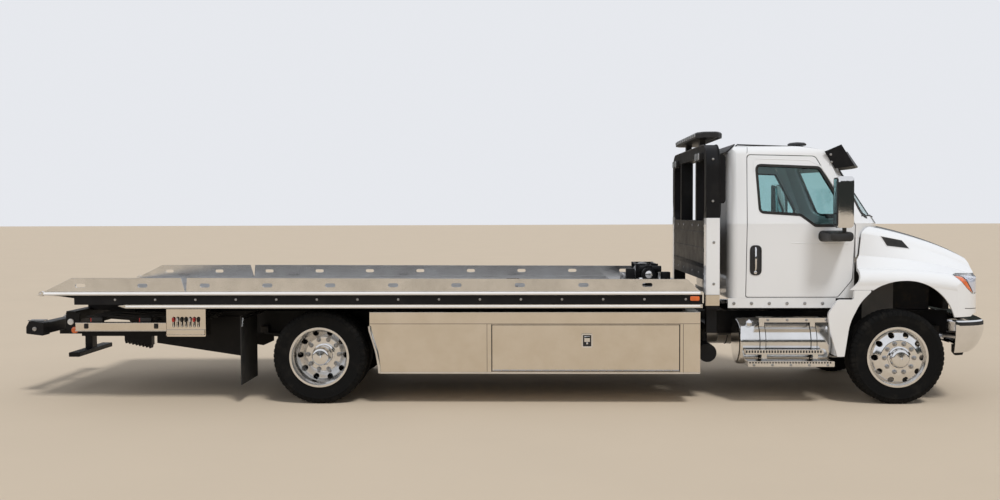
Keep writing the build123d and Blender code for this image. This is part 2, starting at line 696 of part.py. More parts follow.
def nose_plan(z, back, inset):
    """Plan outline of the hood at a height: straight sides, rounded corners and a bowed front."""
    side_y = NOSE_SIDE - inset
    with BuildSketch(Plane.XY.offset(z)) as plan:
        with BuildLine():
            Line((ahead(5000), -side_y), (ahead(5000), side_y))
            for side in (-1, 1):
                Line((ahead(5000), side * side_y), (ahead(6150 - back), side * side_y))
                ThreePointArc(
                    (ahead(6150 - back), side * side_y),
                    (ahead(6390 - back - inset / 2), side * (1122 - inset)),
                    (ahead(6560 - back - inset), side * (940 - inset)),
                )
            ThreePointArc(
                (ahead(6560 - back - inset), inset - 940),
                (ahead(6712 - back - inset), 0),
                (ahead(6560 - back - inset), 940 - inset),
            )
        make_face()
    return plan.sketch


def hood_body(inset, bottom):
    """Hood through its stations, trimmed to the plan and the lean of the nose."""
    loft([hood_section(station, inset, bottom) for station in HOOD_STATIONS])
    with BuildPart(mode=Mode.PRIVATE) as nose:
        extrude(nose_plan(300, 0, inset), amount=NOSE_SECTIONS[0][0] - 300)
        loft([nose_plan(height, back, inset) for height, back in NOSE_SECTIONS])
        extrude(nose_plan(NOSE_SECTIONS[-1][0], NOSE_SECTIONS[-1][1], inset), amount=300)
    add(nose.part, mode=Mode.INTERSECT)


def wheel_arch(y_low, y_high, mode):
    """Opening of the wheel arch, as an outline of lines and two arcs."""
    with BuildSketch(Plane.XZ.offset(-y_high)) as outline:
        with BuildLine():
            Polyline((ahead(6310), 300), (ahead(5187), 300), (ahead(5187), 473), (ahead(5237), 804))
            ThreePointArc((ahead(5237), 804), (ahead(5420), 1094), (ahead(5764), 1219))
            ThreePointArc((ahead(5764), 1219), (ahead(6092), 1112), (ahead(6253), 868))
            Polyline((ahead(6253), 868), (ahead(6310), 500), (ahead(6310), 300))
        make_face()
    extrude(outline.sketch, amount=y_high - y_low, mode=mode)


HOOD_BOTTOM = [(5000, 300), (5000, 860), (6450, 860), (6500, 885), (7000, 885), (7000, 300)]
SEAM = [
    (5100, 600), (5100, 2000), (5358, 2000), (5358, 1560, 400), (5336, 1222, 120), (5240, 1128), (5460, 1128),
    (5460, 600),
]
GRILLE = [(520, 905), (600, 1220), (400, 1310), (-400, 1310), (-600, 1220), (-520, 905)]
GRILLE_SPREAD = (600 - 520) / (1220 - 905)
HEADLAMP = [(6262, 1270), (6330, 1284), (6730, 1262), (6730, 1085), (6470, 1078, 40), (6392, 1140, 80)]
LAMP_INNER_Y = 690
with BuildPart() as hood_shell:
    hood_body(0, 600)
    with BuildPart(mode=Mode.PRIVATE) as hood_room:
        hood_body(HOOD_SKIN, 400)
    add(hood_room.part, mode=Mode.SUBTRACT)
    side_plate(HOOD_BOTTOM, -1300, 1300, Mode.SUBTRACT)
    side_plate(SEAM, -1300, 1300, Mode.SUBTRACT)
    wheel_arch(-1300, -640, Mode.SUBTRACT)
    wheel_arch(640, 1300, Mode.SUBTRACT)
    extrude(
        cab_section(
            1400, CAB_BACK, WINDSCREEN_CORNER + HOOD_GAP, WINDSCREEN_BASE_APEX + HOOD_GAP, CAB_HALF_WIDTH + 10,
        ),
        amount=600,
        mode=Mode.SUBTRACT,
    )
    front_plate(GRILLE, 6500, 6800, Mode.SUBTRACT)

# Headlamps wrap round the nose's corners, flush with its skin
with BuildPart() as headlamps:
    add(hood_shell.part)
    side_plate(HEADLAMP, -1300, 1300, Mode.INTERSECT)
    block(6000, 6800, -LAMP_INNER_Y, LAMP_INNER_Y, 900, 1500, Mode.SUBTRACT)
save(headlamps, "headlamps")

with BuildPart() as hood:
    add(hood_shell.part)
    side_plate(HEADLAMP, LAMP_INNER_Y, 1300, Mode.SUBTRACT)
    side_plate(HEADLAMP, -1300, -LAMP_INNER_Y, Mode.SUBTRACT)
save(hood, "hood")

# Grille: bars across the nose's opening, with uprights behind them
GRILLE_BARS = (935, 1000, 1065, 1130, 1195, 1260)
GRILLE_UPRIGHTS = (-400, -200, 0, 200, 400)
BAR_HALF = 12
with BuildPart() as grille:
    for bar_z in GRILLE_BARS:
        half = 520 + (bar_z - BAR_HALF - 905) * GRILLE_SPREAD if bar_z < 1220 else 482
        block(6622, 6648, -half, half, bar_z - BAR_HALF, bar_z + BAR_HALF)
    for bar_y in GRILLE_UPRIGHTS:
        block(6607, 6623, bar_y - 10, bar_y + 10, 905, 1300)
save(grille, "grille")

# Fender extensions behind the front wheels, fixed to the chassis
EXTENSION = [
    (5118, 470), (5187, 473), (5237, 804, 500), (5340, 1008, 400), (5440, 1108), (5440, 1126),
    (5276, 1126), (5276, 1034, 20), (5118, 1034, 60), (5022, 890, 90), (5042, 740, 400),
]
with BuildPart() as fender_extensions:
    for side in (-1, 1):
        y = sorted((side * 1140, side * 1180))
        side_plate(EXTENSION, y[0], y[1])
        y = sorted((side * 1000, side * 1141))
        block(5106, 5125, y[0], y[1], 476, 850)
save(fender_extensions, "fender_extensions")

with BuildPart() as mud_flaps:
    for side in (-1, 1):
        y = sorted((side * 600, side * 1200))
        block(-785, -775, y[0], y[1], 190, 880)
        y = sorted((side * 432, side * 1190))
        bar((-765, y[0], 850), (-765, y[1], 850), 11)
save(mud_flaps, "mud_flaps")

# Toolboxes under the deck, with a drop-down door each
BOX_X = (510, 3770)
BOX_Y = (660, 1220)
BOX_Z = (310, 918)
BOX_WALL = 20
BOX_REAR_CURVE = [(510, 918), (510, 755, 150), (592, 500, 500), (611, 310), (611, 918)]
BOX_DOOR_X = (1720, 3570)
BOX_DOOR_Z = (330, 795)
with BuildPart() as toolboxes:
    for side in (-1, 1):
        y = sorted((side * BOX_Y[0], side * BOX_Y[1]))
        block(BOX_X[0] + 100, BOX_X[1], y[0], y[1], BOX_Z[0], BOX_Z[1])
        side_plate(BOX_REAR_CURVE, y[0], y[1])
        y = sorted((side * (BOX_Y[0] + BOX_WALL), side * (BOX_Y[1] - BOX_WALL)))
        block(640, BOX_X[1] - BOX_WALL, y[0], y[1], BOX_Z[0] + BOX_WALL, BOX_Z[1] - BOX_WALL, Mode.SUBTRACT)
        y = sorted((side * (BOX_Y[1] - 60), side * (BOX_Y[1] + 20)))
        block(BOX_DOOR_X[0], BOX_DOOR_X[1], y[0], y[1], BOX_DOOR_Z[0], BOX_DOOR_Z[1], Mode.SUBTRACT)
        y = sorted((side * RAIL_OUTER_Y, side * BOX_Y[0]))
        for x in (900, 2900, 3500):
            block(x, x + 60, y[0], y[1], 700, 760)
save(toolboxes, "toolboxes")

DOOR_GAP = 6
BARREL_RADIUS = 6
BARREL_Z = BOX_DOOR_Z[0] + DOOR_GAP + BARREL_RADIUS
with BuildPart() as toolbox_door:
    block(
        BOX_DOOR_X[0] + DOOR_GAP, BOX_DOOR_X[1] - DOOR_GAP, -BOX_Y[1], -BOX_Y[1] + BOX_WALL,
        BOX_DOOR_Z[0] + DOOR_GAP, BOX_DOOR_Z[1] - DOOR_GAP,
    )
    bar(
        (BOX_DOOR_X[0] + DOOR_GAP, -BOX_Y[1], BARREL_Z),
        (BOX_DOOR_X[1] - DOOR_GAP, -BOX_Y[1], BARREL_Z), BARREL_RADIUS,
    )
    block(2620, 2700, -BOX_Y[1] - 8, -BOX_Y[1] + 1, 598, 678)
save(toolbox_door, "toolbox_door_right")
save(other_side(toolbox_door), "toolbox_door_left")

# Headboard between deck and cab
HEADBOARD_X = (3836, 3967)
HEADBOARD_HALF = 1150
HEADBOARD_TOP = 2570
POST = 120
with BuildPart() as headboard:
    with BuildSketch(Plane.YZ.offset(ahead(HEADBOARD_X[0]))) as arch:
        with BuildLine():
            Polyline(
                (-HEADBOARD_HALF, 940), (-HEADBOARD_HALF, HEADBOARD_TOP), (HEADBOARD_HALF, HEADBOARD_TOP),
                (HEADBOARD_HALF, 940), close=True,
            )
        make_face()
        fillet(arch.vertices().group_by(Axis.Y)[-1], 220)
        with Locations((0, 2130)):
            RectangleRounded(2 * (HEADBOARD_HALF - POST), 640, 120, mode=Mode.SUBTRACT)
        with Locations((0, 1070)):
            Rectangle(2 * (HEADBOARD_HALF - POST), 300, mode=Mode.SUBTRACT)
        with Locations((-520, 2130), (520, 2130)):
            Rectangle(70, 660)
    extrude(amount=HEADBOARD_X[1] - HEADBOARD_X[0])
    for side in (-1, 1):
        y = sorted((side * RAIL_OUTER_Y, side * 1100))
        block(3850, 3950, y[0], y[1], 700, 780)
        y = sorted((side * 1000, side * 1100))
        block(3850, 3950, y[0], y[1], 700, 941)
        y = sorted((side * 990, side * 1120))
        side_plate(
            [(3966, 1985), (4015, 1985, 12), (4030, 2010, 12), (4030, 2440, 12), (4010, 2465, 12),
            (3966, 2465)],
            y[0], y[1],
        )
save(headboard, "headboard")

with BuildPart() as light_bar:
    plan_plate(
        [
            (3800, -700, 60), (3860, -820, 60), (4010, -820, 60), (4070, -700, 60),
            (4070, 700, 60), (4010, 820, 60), (3860, 820, 60), (3800, 700, 60),
        ],
        2655, 2715,
    )
    chamfer(light_bar.edges().group_by(Axis.Z)[-1], 14)
    for y in (-450, 450):
        block(3880, 3940, y - 40, y + 40, HEADBOARD_TOP, 2656)
save(light_bar, "light_bar")

with BuildPart() as hydraulic_tank:
    for side in (-1, 1):
        bar((3885, side * 560, 480), (3885, side * 960, 480), 92)
        bar((3885, side * 700, 560), (3885, side * 700, 700), 40)
save(hydraulic_tank, "hydraulic_tank")

# Rear controls: a steel box with levers each side, and the polished light tray behind it
with BuildPart() as control_panels:
    for side in (-1, 1):
        y = sorted((side * 890, side * 1050))
        side_plate([(-1580, 656, 12), (-1180, 656, 12), (-1180, 935), (-1580, 935)], y[0], y[1])
        y2 = sorted((side * 940, side * 1055))
        block(-2510, -1581, y2[0], y2[1], 715, 795)
        y3 = sorted((side * (RAIL_OUTER_Y + 15), side * 940))
        block(-1500, -1420, y3[0], y3[1], 700, 760)
save(control_panels, "control_panels")

# Levers: a stub out of each panel with a grip on it
LEVERS = 7
FIRST_LEVER = -1505
LEVER_PITCH = 42
with BuildPart() as control_levers:
    for side in (-1, 1):
        for index in range(LEVERS):
            x = FIRST_LEVER + index * LEVER_PITCH
            bar((x, side * 1050, 795), (x, side * 1068, 795), 5)
            bar((x, side * 1064, 790), (x, side * 1073, 850), 9)
save(control_levers, "control_levers")

# Plates that carry the bed's pivot, tapered plates outside the rails, and the tilt cylinders' feet
BED_PIVOT_PLATE = [
    (-2262, 770), (-2262, 880), (-2130, 880), (-2100, 840), (-1721, 840), (-1721, 640), (-2150, 640),
]
TAPERED_PLATE = [(-1900, 515), (-980, 376), (-860, 430), (-860, 800), (-1900, 800)]
CYLINDER_Y = 570
ROD_EYE = (1550, 893)
EYE_HALF = 24
BARREL_FOOT = (2600, 600)
with BuildPart() as chassis_brackets:
    for side in (-1, 1):
        y = sorted((side * 302, side * 338))
        side_plate(BED_PIVOT_PLATE, y[0], y[1])
        y = sorted((side * RAIL_OUTER_Y, side * (RAIL_OUTER_Y + 14)))
        side_plate(TAPERED_PLATE, y[0], y[1])
    bar((PIVOT_X, -400, PIVOT_Z), (PIVOT_X, 400, PIVOT_Z), 31, Mode.SUBTRACT)
    for side in (-1, 1):
        y = sorted((side * RAIL_OUTER_Y, side * (CYLINDER_Y - 52)))
        block(2540, 2660, y[0], y[1], 540, 720)
        y = sorted((side * (CYLINDER_Y - 53), side * (CYLINDER_Y + 40)))
        bar((BARREL_FOOT[0], y[0], BARREL_FOOT[1]), (BARREL_FOOT[0], y[1], BARREL_FOOT[1]), 20)
save(chassis_brackets, "chassis_brackets")

# Subframe: two rails, cross-ties, pivot shaft, boom ears and the tail beam
# Cross-ties: x, and z range; the front ones hold the slide cylinder
CROSS_TIES = [
    {"x": -2600, "z": (872, 895)},
    {"x": -1500, "z": (872, 895)},
    {"x": -300, "z": (880, 985)},
    {"x": 900, "z": (880, 985)},
    {"x": 2200, "z": (880, 985)},
    {"x": 3440, "z": (880, 985)},
]
BOOM_PIVOT = (-2050, 620)
BOOM_EAR = [(-2110, 560), (-1990, 560), (-1960, 700), (-1960, 895), (-2640, 895), (-2640, 860), (-2110, 700)]
SLIDE_Z = 935
SLIDE_BARREL_RADIUS = 42
with BuildPart() as subframe:
    for side in (-1, 1):
        y = sorted((side * 350, side * SUBFRAME_OUTER_Y))
        block(-2650, 3700, y[0], y[1], SUBFRAME_BOTTOM, SUBFRAME_TOP)
        side_plate([(-2260, 871), (-2240, 790), (-2160, 790), (-2140, 871)], y[0], y[1])
        y = sorted((side * 95, side * 125))
        side_plate(BOOM_EAR, y[0], y[1])
        y = sorted((side * 68, side * 125))
        bar((BOOM_PIVOT[0], y[0], BOOM_PIVOT[1]), (BOOM_PIVOT[0], y[1], BOOM_PIVOT[1]), 22)
    for tie in CROSS_TIES:
        block(tie["x"], tie["x"] + 80, -351, 351, tie["z"][0], tie["z"][1])
    bar((PIVOT_X, -429, PIVOT_Z), (PIVOT_X, 429, PIVOT_Z), 30)
    reach = CYLINDER_Y - EYE_HALF - 2
    bar((ROD_EYE[0], -reach, ROD_EYE[1]), (ROD_EYE[0], reach, ROD_EYE[1]), 20)
    block(-2700, -2600, -840, 840, 800, 895)
    for y in both_sides(800, 840):
        block(-2705, -2565, y[0], y[1], 700, 880)
    block(-2000, -1961, -96, 96, 860, 895)
    bar((-400, 0, SLIDE_Z), (3530, 0, SLIDE_Z), SLIDE_BARREL_RADIUS, Mode.SUBTRACT)
save(subframe, "subframe")

# Slide cylinder: the barrel lies in the subframe, and its rod pushes the deck
with BuildPart() as slide_cylinder:
    bar((-560, 0, SLIDE_Z), (3530, 0, SLIDE_Z), SLIDE_BARREL_RADIUS)
    bar((-561, 0, SLIDE_Z), (3480, 0, SLIDE_Z), 33, Mode.SUBTRACT)
save(slide_cylinder, "slide_cylinder")

with BuildPart() as slide_rod:
    bar((-700, 0, SLIDE_Z), (3380, 0, SLIDE_Z), 26)
    block(-740, -680, -40, 40, 906, DECK_UNDERSIDE)
    block(-740, -680, -40, 40, DECK_UNDERSIDE - 1, 1085)
save(slide_rod, "slide_rod")

# Deck
DECK_PLATE_BOTTOM = 1085
WINCH_STEP = 3030
WINCH_STEP_HEIGHT = 8
with BuildPart() as deck_floor:
    side_plate(
        [
            (DECK_TAIL, 1096), (-2640, DECK_TOP), (DECK_FRONT, DECK_TOP), (DECK_FRONT, DECK_PLATE_BOTTOM),
            (-2600, DECK_PLATE_BOTTOM),
        ],
        -1254, 1254,
    )
    block(WINCH_STEP, DECK_FRONT, -1254, 1254, DECK_PLATE_BOTTOM, DECK_TOP + WINCH_STEP_HEIGHT)
save(deck_floor, "deck_floor")

# Cross-members are pitched so that none meets the slide rod's foot
DECK_CROSS_PITCH = 622.5
DECK_CROSS_MEMBERS = 10
BAND_TOP = 1096
with BuildPart() as deck_frame:
    for side in (-1, 1):
        y = sorted((side * 1254, side * 1276))
        side_plate(
            [
                (-2420, DECK_UNDERSIDE), (-2420, 1065), (-2640, BAND_TOP), (DECK_FRONT, BAND_TOP),
                (DECK_FRONT, DECK_UNDERSIDE),
            ],
            y[0], y[1],
        )
        y = sorted((side * 445, side * 505))
        block(-2420, 3700, y[0], y[1], SILL_BOTTOM, DECK_PLATE_BOTTOM)
    for index in range(DECK_CROSS_MEMBERS):
        x = -2400 + index * DECK_CROSS_PITCH
        block(x, x + 60, -1255, 1255, DECK_UNDERSIDE, DECK_PLATE_BOTTOM)
    block(3700, 3760, -1255, 1255, DECK_UNDERSIDE, DECK_PLATE_BOTTOM)
save(deck_frame, "deck_frame")

# Side rails: rub rail along the deck's edge, plates with tie-down slots on it in two lengths,
# and the bright strip under the black band
RUB_TOP = 1128
RAIL_PLATES = [
    [(-2730, RUB_TOP - 1), (-2450, 1265), (-1350, 1265), (-1310, RUB_TOP - 1)],
    [(-1300, RUB_TOP - 1), (-1290, 1265), (3634, 1245), (3758, RUB_TOP - 1)],
]
SLOT_PITCH = 622.5
FIRST_SLOT = -2357.5
SLOTS = 10
SLOT_Z = 1190
with BuildPart() as side_rails:
    for side in (-1, 1):
        y = sorted((side * 1254, side * DECK_HALF_WIDTH))
        side_plate(
            [(DECK_TAIL, BAND_TOP), (-2700, RUB_TOP), (DECK_FRONT, RUB_TOP),
            (DECK_FRONT, BAND_TOP)], y[0], y[1],
        )
        y = sorted((side * 1250, side * 1290))
        side_plate(
            [(-1980, 990), (-1900, 965), (DECK_FRONT, 965), (DECK_FRONT, DECK_UNDERSIDE),
            (-1900, DECK_UNDERSIDE)],
            y[0], y[1],
        )
        y = sorted((side * 1256, side * 1272))
        for plate in RAIL_PLATES:
            side_plate(plate, y[0], y[1])
        with BuildSketch(Plane.XZ.offset(-y[1])) as slots:
            for index in range(SLOTS):
                with Locations((ahead(FIRST_SLOT + index * SLOT_PITCH), SLOT_Z)):
                    SlotOverall(100, 38)
        extrude(slots.sketch, amount=y[1] - y[0], mode=Mode.SUBTRACT)
save(side_rails, "side_rails")

# Winch at the front of the deck
WINCH_X = 3360
WINCH_Z = 1240
with BuildPart() as winch:
    block(3100, 3620, -260, 260, DECK_TOP + WINCH_STEP_HEIGHT, DECK_TOP + 20)
    for y in (-235, 215):
        block(3240, 3480, y, y + 20, DECK_TOP + 19, 1345)
    bar((WINCH_X, 236, WINCH_Z), (WINCH_X, 400, WINCH_Z), 85)
    bar((WINCH_X, -234, WINCH_Z), (WINCH_X, -420, WINCH_Z), 70)
save(winch, "winch")

with BuildPart() as winch_drum:
    bar((WINCH_X, -205, WINCH_Z), (WINCH_X, 205, WINCH_Z), 75)
    for y in (-205, 193):
        bar((WINCH_X, y, WINCH_Z), (WINCH_X, y + 12, WINCH_Z), 105)
save(winch_drum, "winch_drum")

# Wheel lift: boom, sliding inner tube and swivelling crossbar
TEETH = 8
FIRST_TOOTH = -2414
TOOTH_PITCH = 38
TOOTH_STEP = 8
with BuildPart() as wheel_lift_boom:
    block(-2880, -1990, -78, 78, 545, 680)
    block(-2110, -1990, -90, 90, 580, 660)
    block(-2961, -1989, -62, 62, 560, 665, Mode.SUBTRACT)
    bar((BOOM_PIVOT[0], -95, BOOM_PIVOT[1]), (BOOM_PIVOT[0], 95, BOOM_PIVOT[1]), 23, Mode.SUBTRACT)
    side_plate([(-2870, 362, 8), (-2750, 362, 8), (-2750, 410, 8), (-2870, 410, 8)], -430, 430)
    block(-2850, -2770, -60, 60, 409, 546)
    for tooth in range(TEETH):
        x = FIRST_TOOTH + tooth * TOOTH_PITCH
        root = 495 - tooth * TOOTH_STEP
        side_plate(
            [(x, 546), (x, root), (x + 10, root - 36), (x + 22, root - 36), (x + 28, root),
            (x + 38, root), (x + 38, 546)],
            -45, 45,
        )
save(wheel_lift_boom, "wheel_lift_boom")

with BuildPart() as wheel_lift_tube:
    block(-2920, -2090, -52, 52, 568, 657)
    block(-3140, -2910, -52, 52, 568, 612)
    bar((-3080, 0, 611), (-3080, 0, 626), 40)
save(wheel_lift_tube, "wheel_lift_tube")

with BuildPart() as wheel_lift_crossbar:
    side_plate([(-3140, 632, 12), (-3020, 632, 12), (-3020, 752, 12), (-3140, 752, 12)], -650, 650)
    for y in both_sides(610, 750):
        side_plate(
            [(-3170, 650, 10), (-3170, 722, 15), (-3138, 783, 10), (-2988, 766, 15),
            (-2988, 628, 10)], y[0], y[1],
        )
save(wheel_lift_crossbar, "wheel_lift_crossbar")

# Tilt cylinders: barrels on the chassis, rods to the subframe
rise = ROD_EYE[1] - BARREL_FOOT[1]
run = ROD_EYE[0] - BARREL_FOOT[0]
CYLINDER_LENGTH = (rise ** 2 + run ** 2) ** 0.5


def along_cylinder(distance, y):
    """Point on a tilt cylinder's axis, this far from the barrel's foot."""
    share = distance / CYLINDER_LENGTH
    return (BARREL_FOOT[0] + run * share, y, BARREL_FOOT[1] + rise * share)


with BuildPart() as tilt_barrels:
    for side in (-1, 1):
        y = side * CYLINDER_Y
        bar(along_cylinder(30, y), along_cylinder(940, y), 44)
        bar(along_cylinder(80, y), along_cylinder(941, y), 34, Mode.SUBTRACT)
        bar((BARREL_FOOT[0], y - 30, BARREL_FOOT[1]), (BARREL_FOOT[0], y + 30, BARREL_FOOT[1]), 42)
        bar((BARREL_FOOT[0], y - 31, BARREL_FOOT[1]), (BARREL_FOOT[0], y + 31, BARREL_FOOT[1]), 21, Mode.SUBTRACT)
save(tilt_barrels, "tilt_barrels")

with BuildPart() as tilt_rods:
    for side in (-1, 1):
        y = side * CYLINDER_Y
        bar(along_cylinder(120, y), along_cylinder(CYLINDER_LENGTH - 35, y), 25)
        bar((ROD_EYE[0], y - EYE_HALF, ROD_EYE[1]), (ROD_EYE[0], y + EYE_HALF, ROD_EYE[1]), 38)
        outer = sorted((y, side * (CYLINDER_Y + EYE_HALF + 14)))
        bar((ROD_EYE[0], outer[0], ROD_EYE[1]), (ROD_EYE[0], outer[1], ROD_EYE[1]), 20)
save(tilt_rods, "tilt_rods")
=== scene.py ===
import json
import math

import bmesh
import bpy
from mathutils import Matrix, Vector


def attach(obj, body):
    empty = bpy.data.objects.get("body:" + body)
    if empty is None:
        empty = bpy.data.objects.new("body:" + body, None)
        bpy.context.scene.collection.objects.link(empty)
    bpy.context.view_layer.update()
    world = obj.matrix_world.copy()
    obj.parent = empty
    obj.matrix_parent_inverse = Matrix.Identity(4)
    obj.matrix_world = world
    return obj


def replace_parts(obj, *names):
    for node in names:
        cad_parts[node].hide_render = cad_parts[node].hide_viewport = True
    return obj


# Flatbed tow truck, in metres: +X forward, +Y to its left, +Z up.
# Every x in this script is measured from the rear axle, as in the CAD source,
# and Piece.done() moves it into the frame.

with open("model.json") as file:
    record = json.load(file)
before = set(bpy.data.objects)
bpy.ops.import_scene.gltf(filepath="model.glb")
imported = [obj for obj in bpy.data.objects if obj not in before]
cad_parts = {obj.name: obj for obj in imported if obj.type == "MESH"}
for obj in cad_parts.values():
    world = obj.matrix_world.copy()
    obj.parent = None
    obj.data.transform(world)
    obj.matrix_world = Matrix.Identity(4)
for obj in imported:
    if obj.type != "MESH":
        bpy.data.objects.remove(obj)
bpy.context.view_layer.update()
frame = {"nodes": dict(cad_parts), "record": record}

NODES = frame["nodes"]
REAR_AXLE_X = -1.795
FRONT_AXLE = 5.71
AXLE_Z = 0.465
SIDES = (("right", -1), ("left", 1))

FORWARD, BACKWARD = (1, 0, 0), (-1, 0, 0)
OUTWARD, INWARD = (0, 1, 0), (0, -1, 0)
UPWARD = (0, 0, 1)

WHITE = (0.83, 0.84, 0.85)
BLACK = (0.007, 0.007, 0.008)
TYRE_BLACK = (0.006, 0.006, 0.006)
FLOOR_COLOUR = (0.62, 0.515, 0.39)

# Materials

# Sockets that a mix node uses for colours: its factor, its two colours and its result
MIX_SHARE, MIX_FIRST, MIX_SECOND = 0, 6, 7
MIX_RESULT = 2
BEVEL_SAMPLES = 4


def feed(tree, node, inputs):
    """Give a node's inputs, by name or number, a value or another node's output."""
    for key, value in inputs.items():
        if isinstance(value, bpy.types.NodeSocket):
            tree.links.new(value, node.inputs[key])
        else:
            node.inputs[key].default_value = value
    return node


def calculated(tree, operation, *values):
    """Output of a new math node that is fed with these values."""
    node = tree.nodes.new("ShaderNodeMath")
    node.operation = operation
    return feed(tree, node, dict(enumerate(values))).outputs[0]


class Look:
    """One procedural material: a Principled shader and the nodes that feed it."""

    def __init__(self, name, colour, roughness, metallic=0.0, **sockets):
        self.material = bpy.data.materials.new(name)
        self.material.use_nodes = True
        self.tree = self.material.node_tree
        self.shader = self.tree.nodes["Principled BSDF"]
        self.set("Base Color", (*colour, 1))
        self.set("Roughness", roughness)
        self.set("Metallic", metallic)
        for socket, value in sockets.items():
            self.set(socket.replace("_", " "), value)
        self.position = self.node("ShaderNodeTexCoord").outputs["Object"]

    def set(self, socket, value):
        """Give one of the shader's sockets a plain value."""
        self.shader.inputs[socket].default_value = value

    def node(self, kind, **inputs):
        """New node with these inputs, each a value or another node's output."""
        return feed(self.tree, self.tree.nodes.new(kind), inputs)

    def link(self, output, socket):
        """Feed one of the shader's sockets."""
        self.tree.links.new(output, self.shader.inputs[socket])

    def noise(self, scale, detail=4.0, stretch=(1, 1, 1), roughness=0.55):
        """Cloudy values from 0 to 1, stretched along the axes."""
        place = self.node("ShaderNodeMapping", Vector=self.position, Scale=stretch).outputs["Vector"]
        made = self.node("ShaderNodeTexNoise", Vector=place, Scale=scale, Detail=detail, Roughness=roughness)
        return made.outputs["Fac"]

    def spread(self, value, low, high, to_low=0.0, to_high=1.0):
        """Value from low to high mapped to another range."""
        limits = {"Value": value, "From Min": low, "From Max": high, "To Min": to_low, "To Max": to_high}
        return feed(self.tree, self.tree.nodes.new("ShaderNodeMapRange"), limits).outputs["Result"]

    def height(self):
        """Height above the ground of the surface's point."""
        return self.node("ShaderNodeSeparateXYZ", Vector=self.position).outputs["Z"]

    def tint(self, share, first, second):
        """Base colour that turns from the first colour to the second."""
        made = self.tree.nodes.new("ShaderNodeMix")
        made.data_type = "RGBA"
        feed(self.tree, made, {MIX_SHARE: share, MIX_FIRST: (*first, 1), MIX_SECOND: (*second, 1)})
        self.link(made.outputs[MIX_RESULT], "Base Color")

    def relief(self, height, strength, distance, edge):
        """Rounded edges with a bump on top of them."""
        softened = self.node("ShaderNodeBevel", Radius=edge)
        softened.samples = BEVEL_SAMPLES
        bump = self.node(
            "ShaderNodeBump", Strength=strength, Distance=distance, Height=height,
            Normal=softened.outputs["Normal"],
        )
        self.link(bump.outputs["Normal"], "Normal")


def white_paint():
    """Glossy coat, with dust that thickens towards the ground."""
    look = Look("white_paint", WHITE, 0.28, Coat_Weight=1.0, Coat_Roughness=0.04)
    low = look.spread(look.height(), 1.5, 0.5, 0.0, 0.5)
    dust = calculated(look.tree, "MULTIPLY", look.noise(2.2, 6), low)
    look.tint(dust, WHITE, (0.66, 0.62, 0.56))
    look.relief(look.noise(320, 2), 0.05, 0.0004, 0.006)
    return look.material


def black_paint():
    """Satin black with patches of dust."""
    look = Look("black_paint", BLACK, 0.42, Specular_IOR_Level=0.22)
    dust = look.noise(5, 8, roughness=0.7)
    look.tint(look.spread(dust, 0.5, 0.85), BLACK, (0.018, 0.017, 0.016))
    look.link(look.spread(dust, 0.3, 0.8, 0.34, 0.55), "Roughness")
    look.relief(look.noise(140, 3), 0.12, 0.0008, 0.003)
    return look.material


def metal(name, colour, smudged, smooth, rough, grain, waves):
    """Bare metal with a grain along the truck, cloudy smudges and a slight waviness."""
    look = Look(name, colour, smooth, 1.0)
    smudge = look.noise(3.5, 7, roughness=0.65)
    look.tint(look.spread(smudge, 0.35, 0.8), colour, smudged)
    look.link(look.spread(smudge, 0.3, 0.85, smooth, rough), "Roughness")
    fine = look.noise(60, 3, grain)
    both = calculated(look.tree, "MULTIPLY_ADD", look.noise(1.6, 2), waves, fine)
    look.relief(both, 0.06, 0.0015, 0.002)
    return look.material


def tyre_rubber():
    """Dull black rubber with road dirt."""
    look = Look("tyre_rubber", TYRE_BLACK, 0.70, Specular_IOR_Level=0.12)
    dirt = look.noise(7, 8, roughness=0.7)
    look.tint(look.spread(dirt, 0.5, 0.9), TYRE_BLACK, (0.026, 0.023, 0.019))
    look.relief(look.noise(190, 4), 0.25, 0.001, 0.002)
    return look.material


def grained(name, colour, worn, roughness, scale):
    """Moulded plastic or rubber with a fine grain."""
    look = Look(name, colour, roughness)
    look.tint(look.spread(look.noise(6, 5), 0.45, 0.9), colour, worn)
    look.relief(look.noise(scale, 2), 0.25, 0.0006, 0.002)
    return look.material


def cast_iron():
    """Rough dark iron with a little rust."""
    look = Look("cast_iron", (0.03, 0.03, 0.03), 0.7)
    rust = look.noise(9, 8, roughness=0.7)
    look.tint(look.spread(rust, 0.5, 0.8), (0.022, 0.022, 0.023), (0.07, 0.05, 0.035))
    look.relief(look.noise(120, 4), 0.4, 0.001, 0.003)
    return look.material


def seat_fabric():
    """Dark woven cloth."""
    look = Look("seat_fabric", (0.055, 0.056, 0.06), 0.9, Sheen_Weight=0.3)
    weave = look.node("ShaderNodeTexWave", Vector=look.position, Scale=260.0, Distortion=1.0)
    look.tint(look.noise(300, 2), (0.045, 0.046, 0.05), (0.085, 0.086, 0.09))
    look.relief(weave.outputs["Fac"], 0.3, 0.0008, 0.012)
    return look.material


def glazing(name, colour):
    """Clear or tinted glass, a little dusty."""
    look = Look(name, colour, 0.0, Transmission_Weight=1.0, IOR=1.45)
    look.link(look.spread(look.noise(4, 6), 0.45, 0.9, 0.0, 0.05), "Roughness")
    return look.material


def lamp_lens(name, colour, glow):
    """Ribbed coloured lens over a reflector."""
    look = Look(name, colour, 0.12, Coat_Weight=1.0, Emission_Strength=glow)
    look.set("Emission Color", (*colour, 1))
    ribs = look.node("ShaderNodeTexWave", Vector=look.position, Scale=55.0)
    look.tint(look.noise(30, 2), colour, tuple(0.6 * part for part in colour))
    look.relief(ribs.outputs["Fac"], 0.3, 0.001, 0.003)
    return look.material


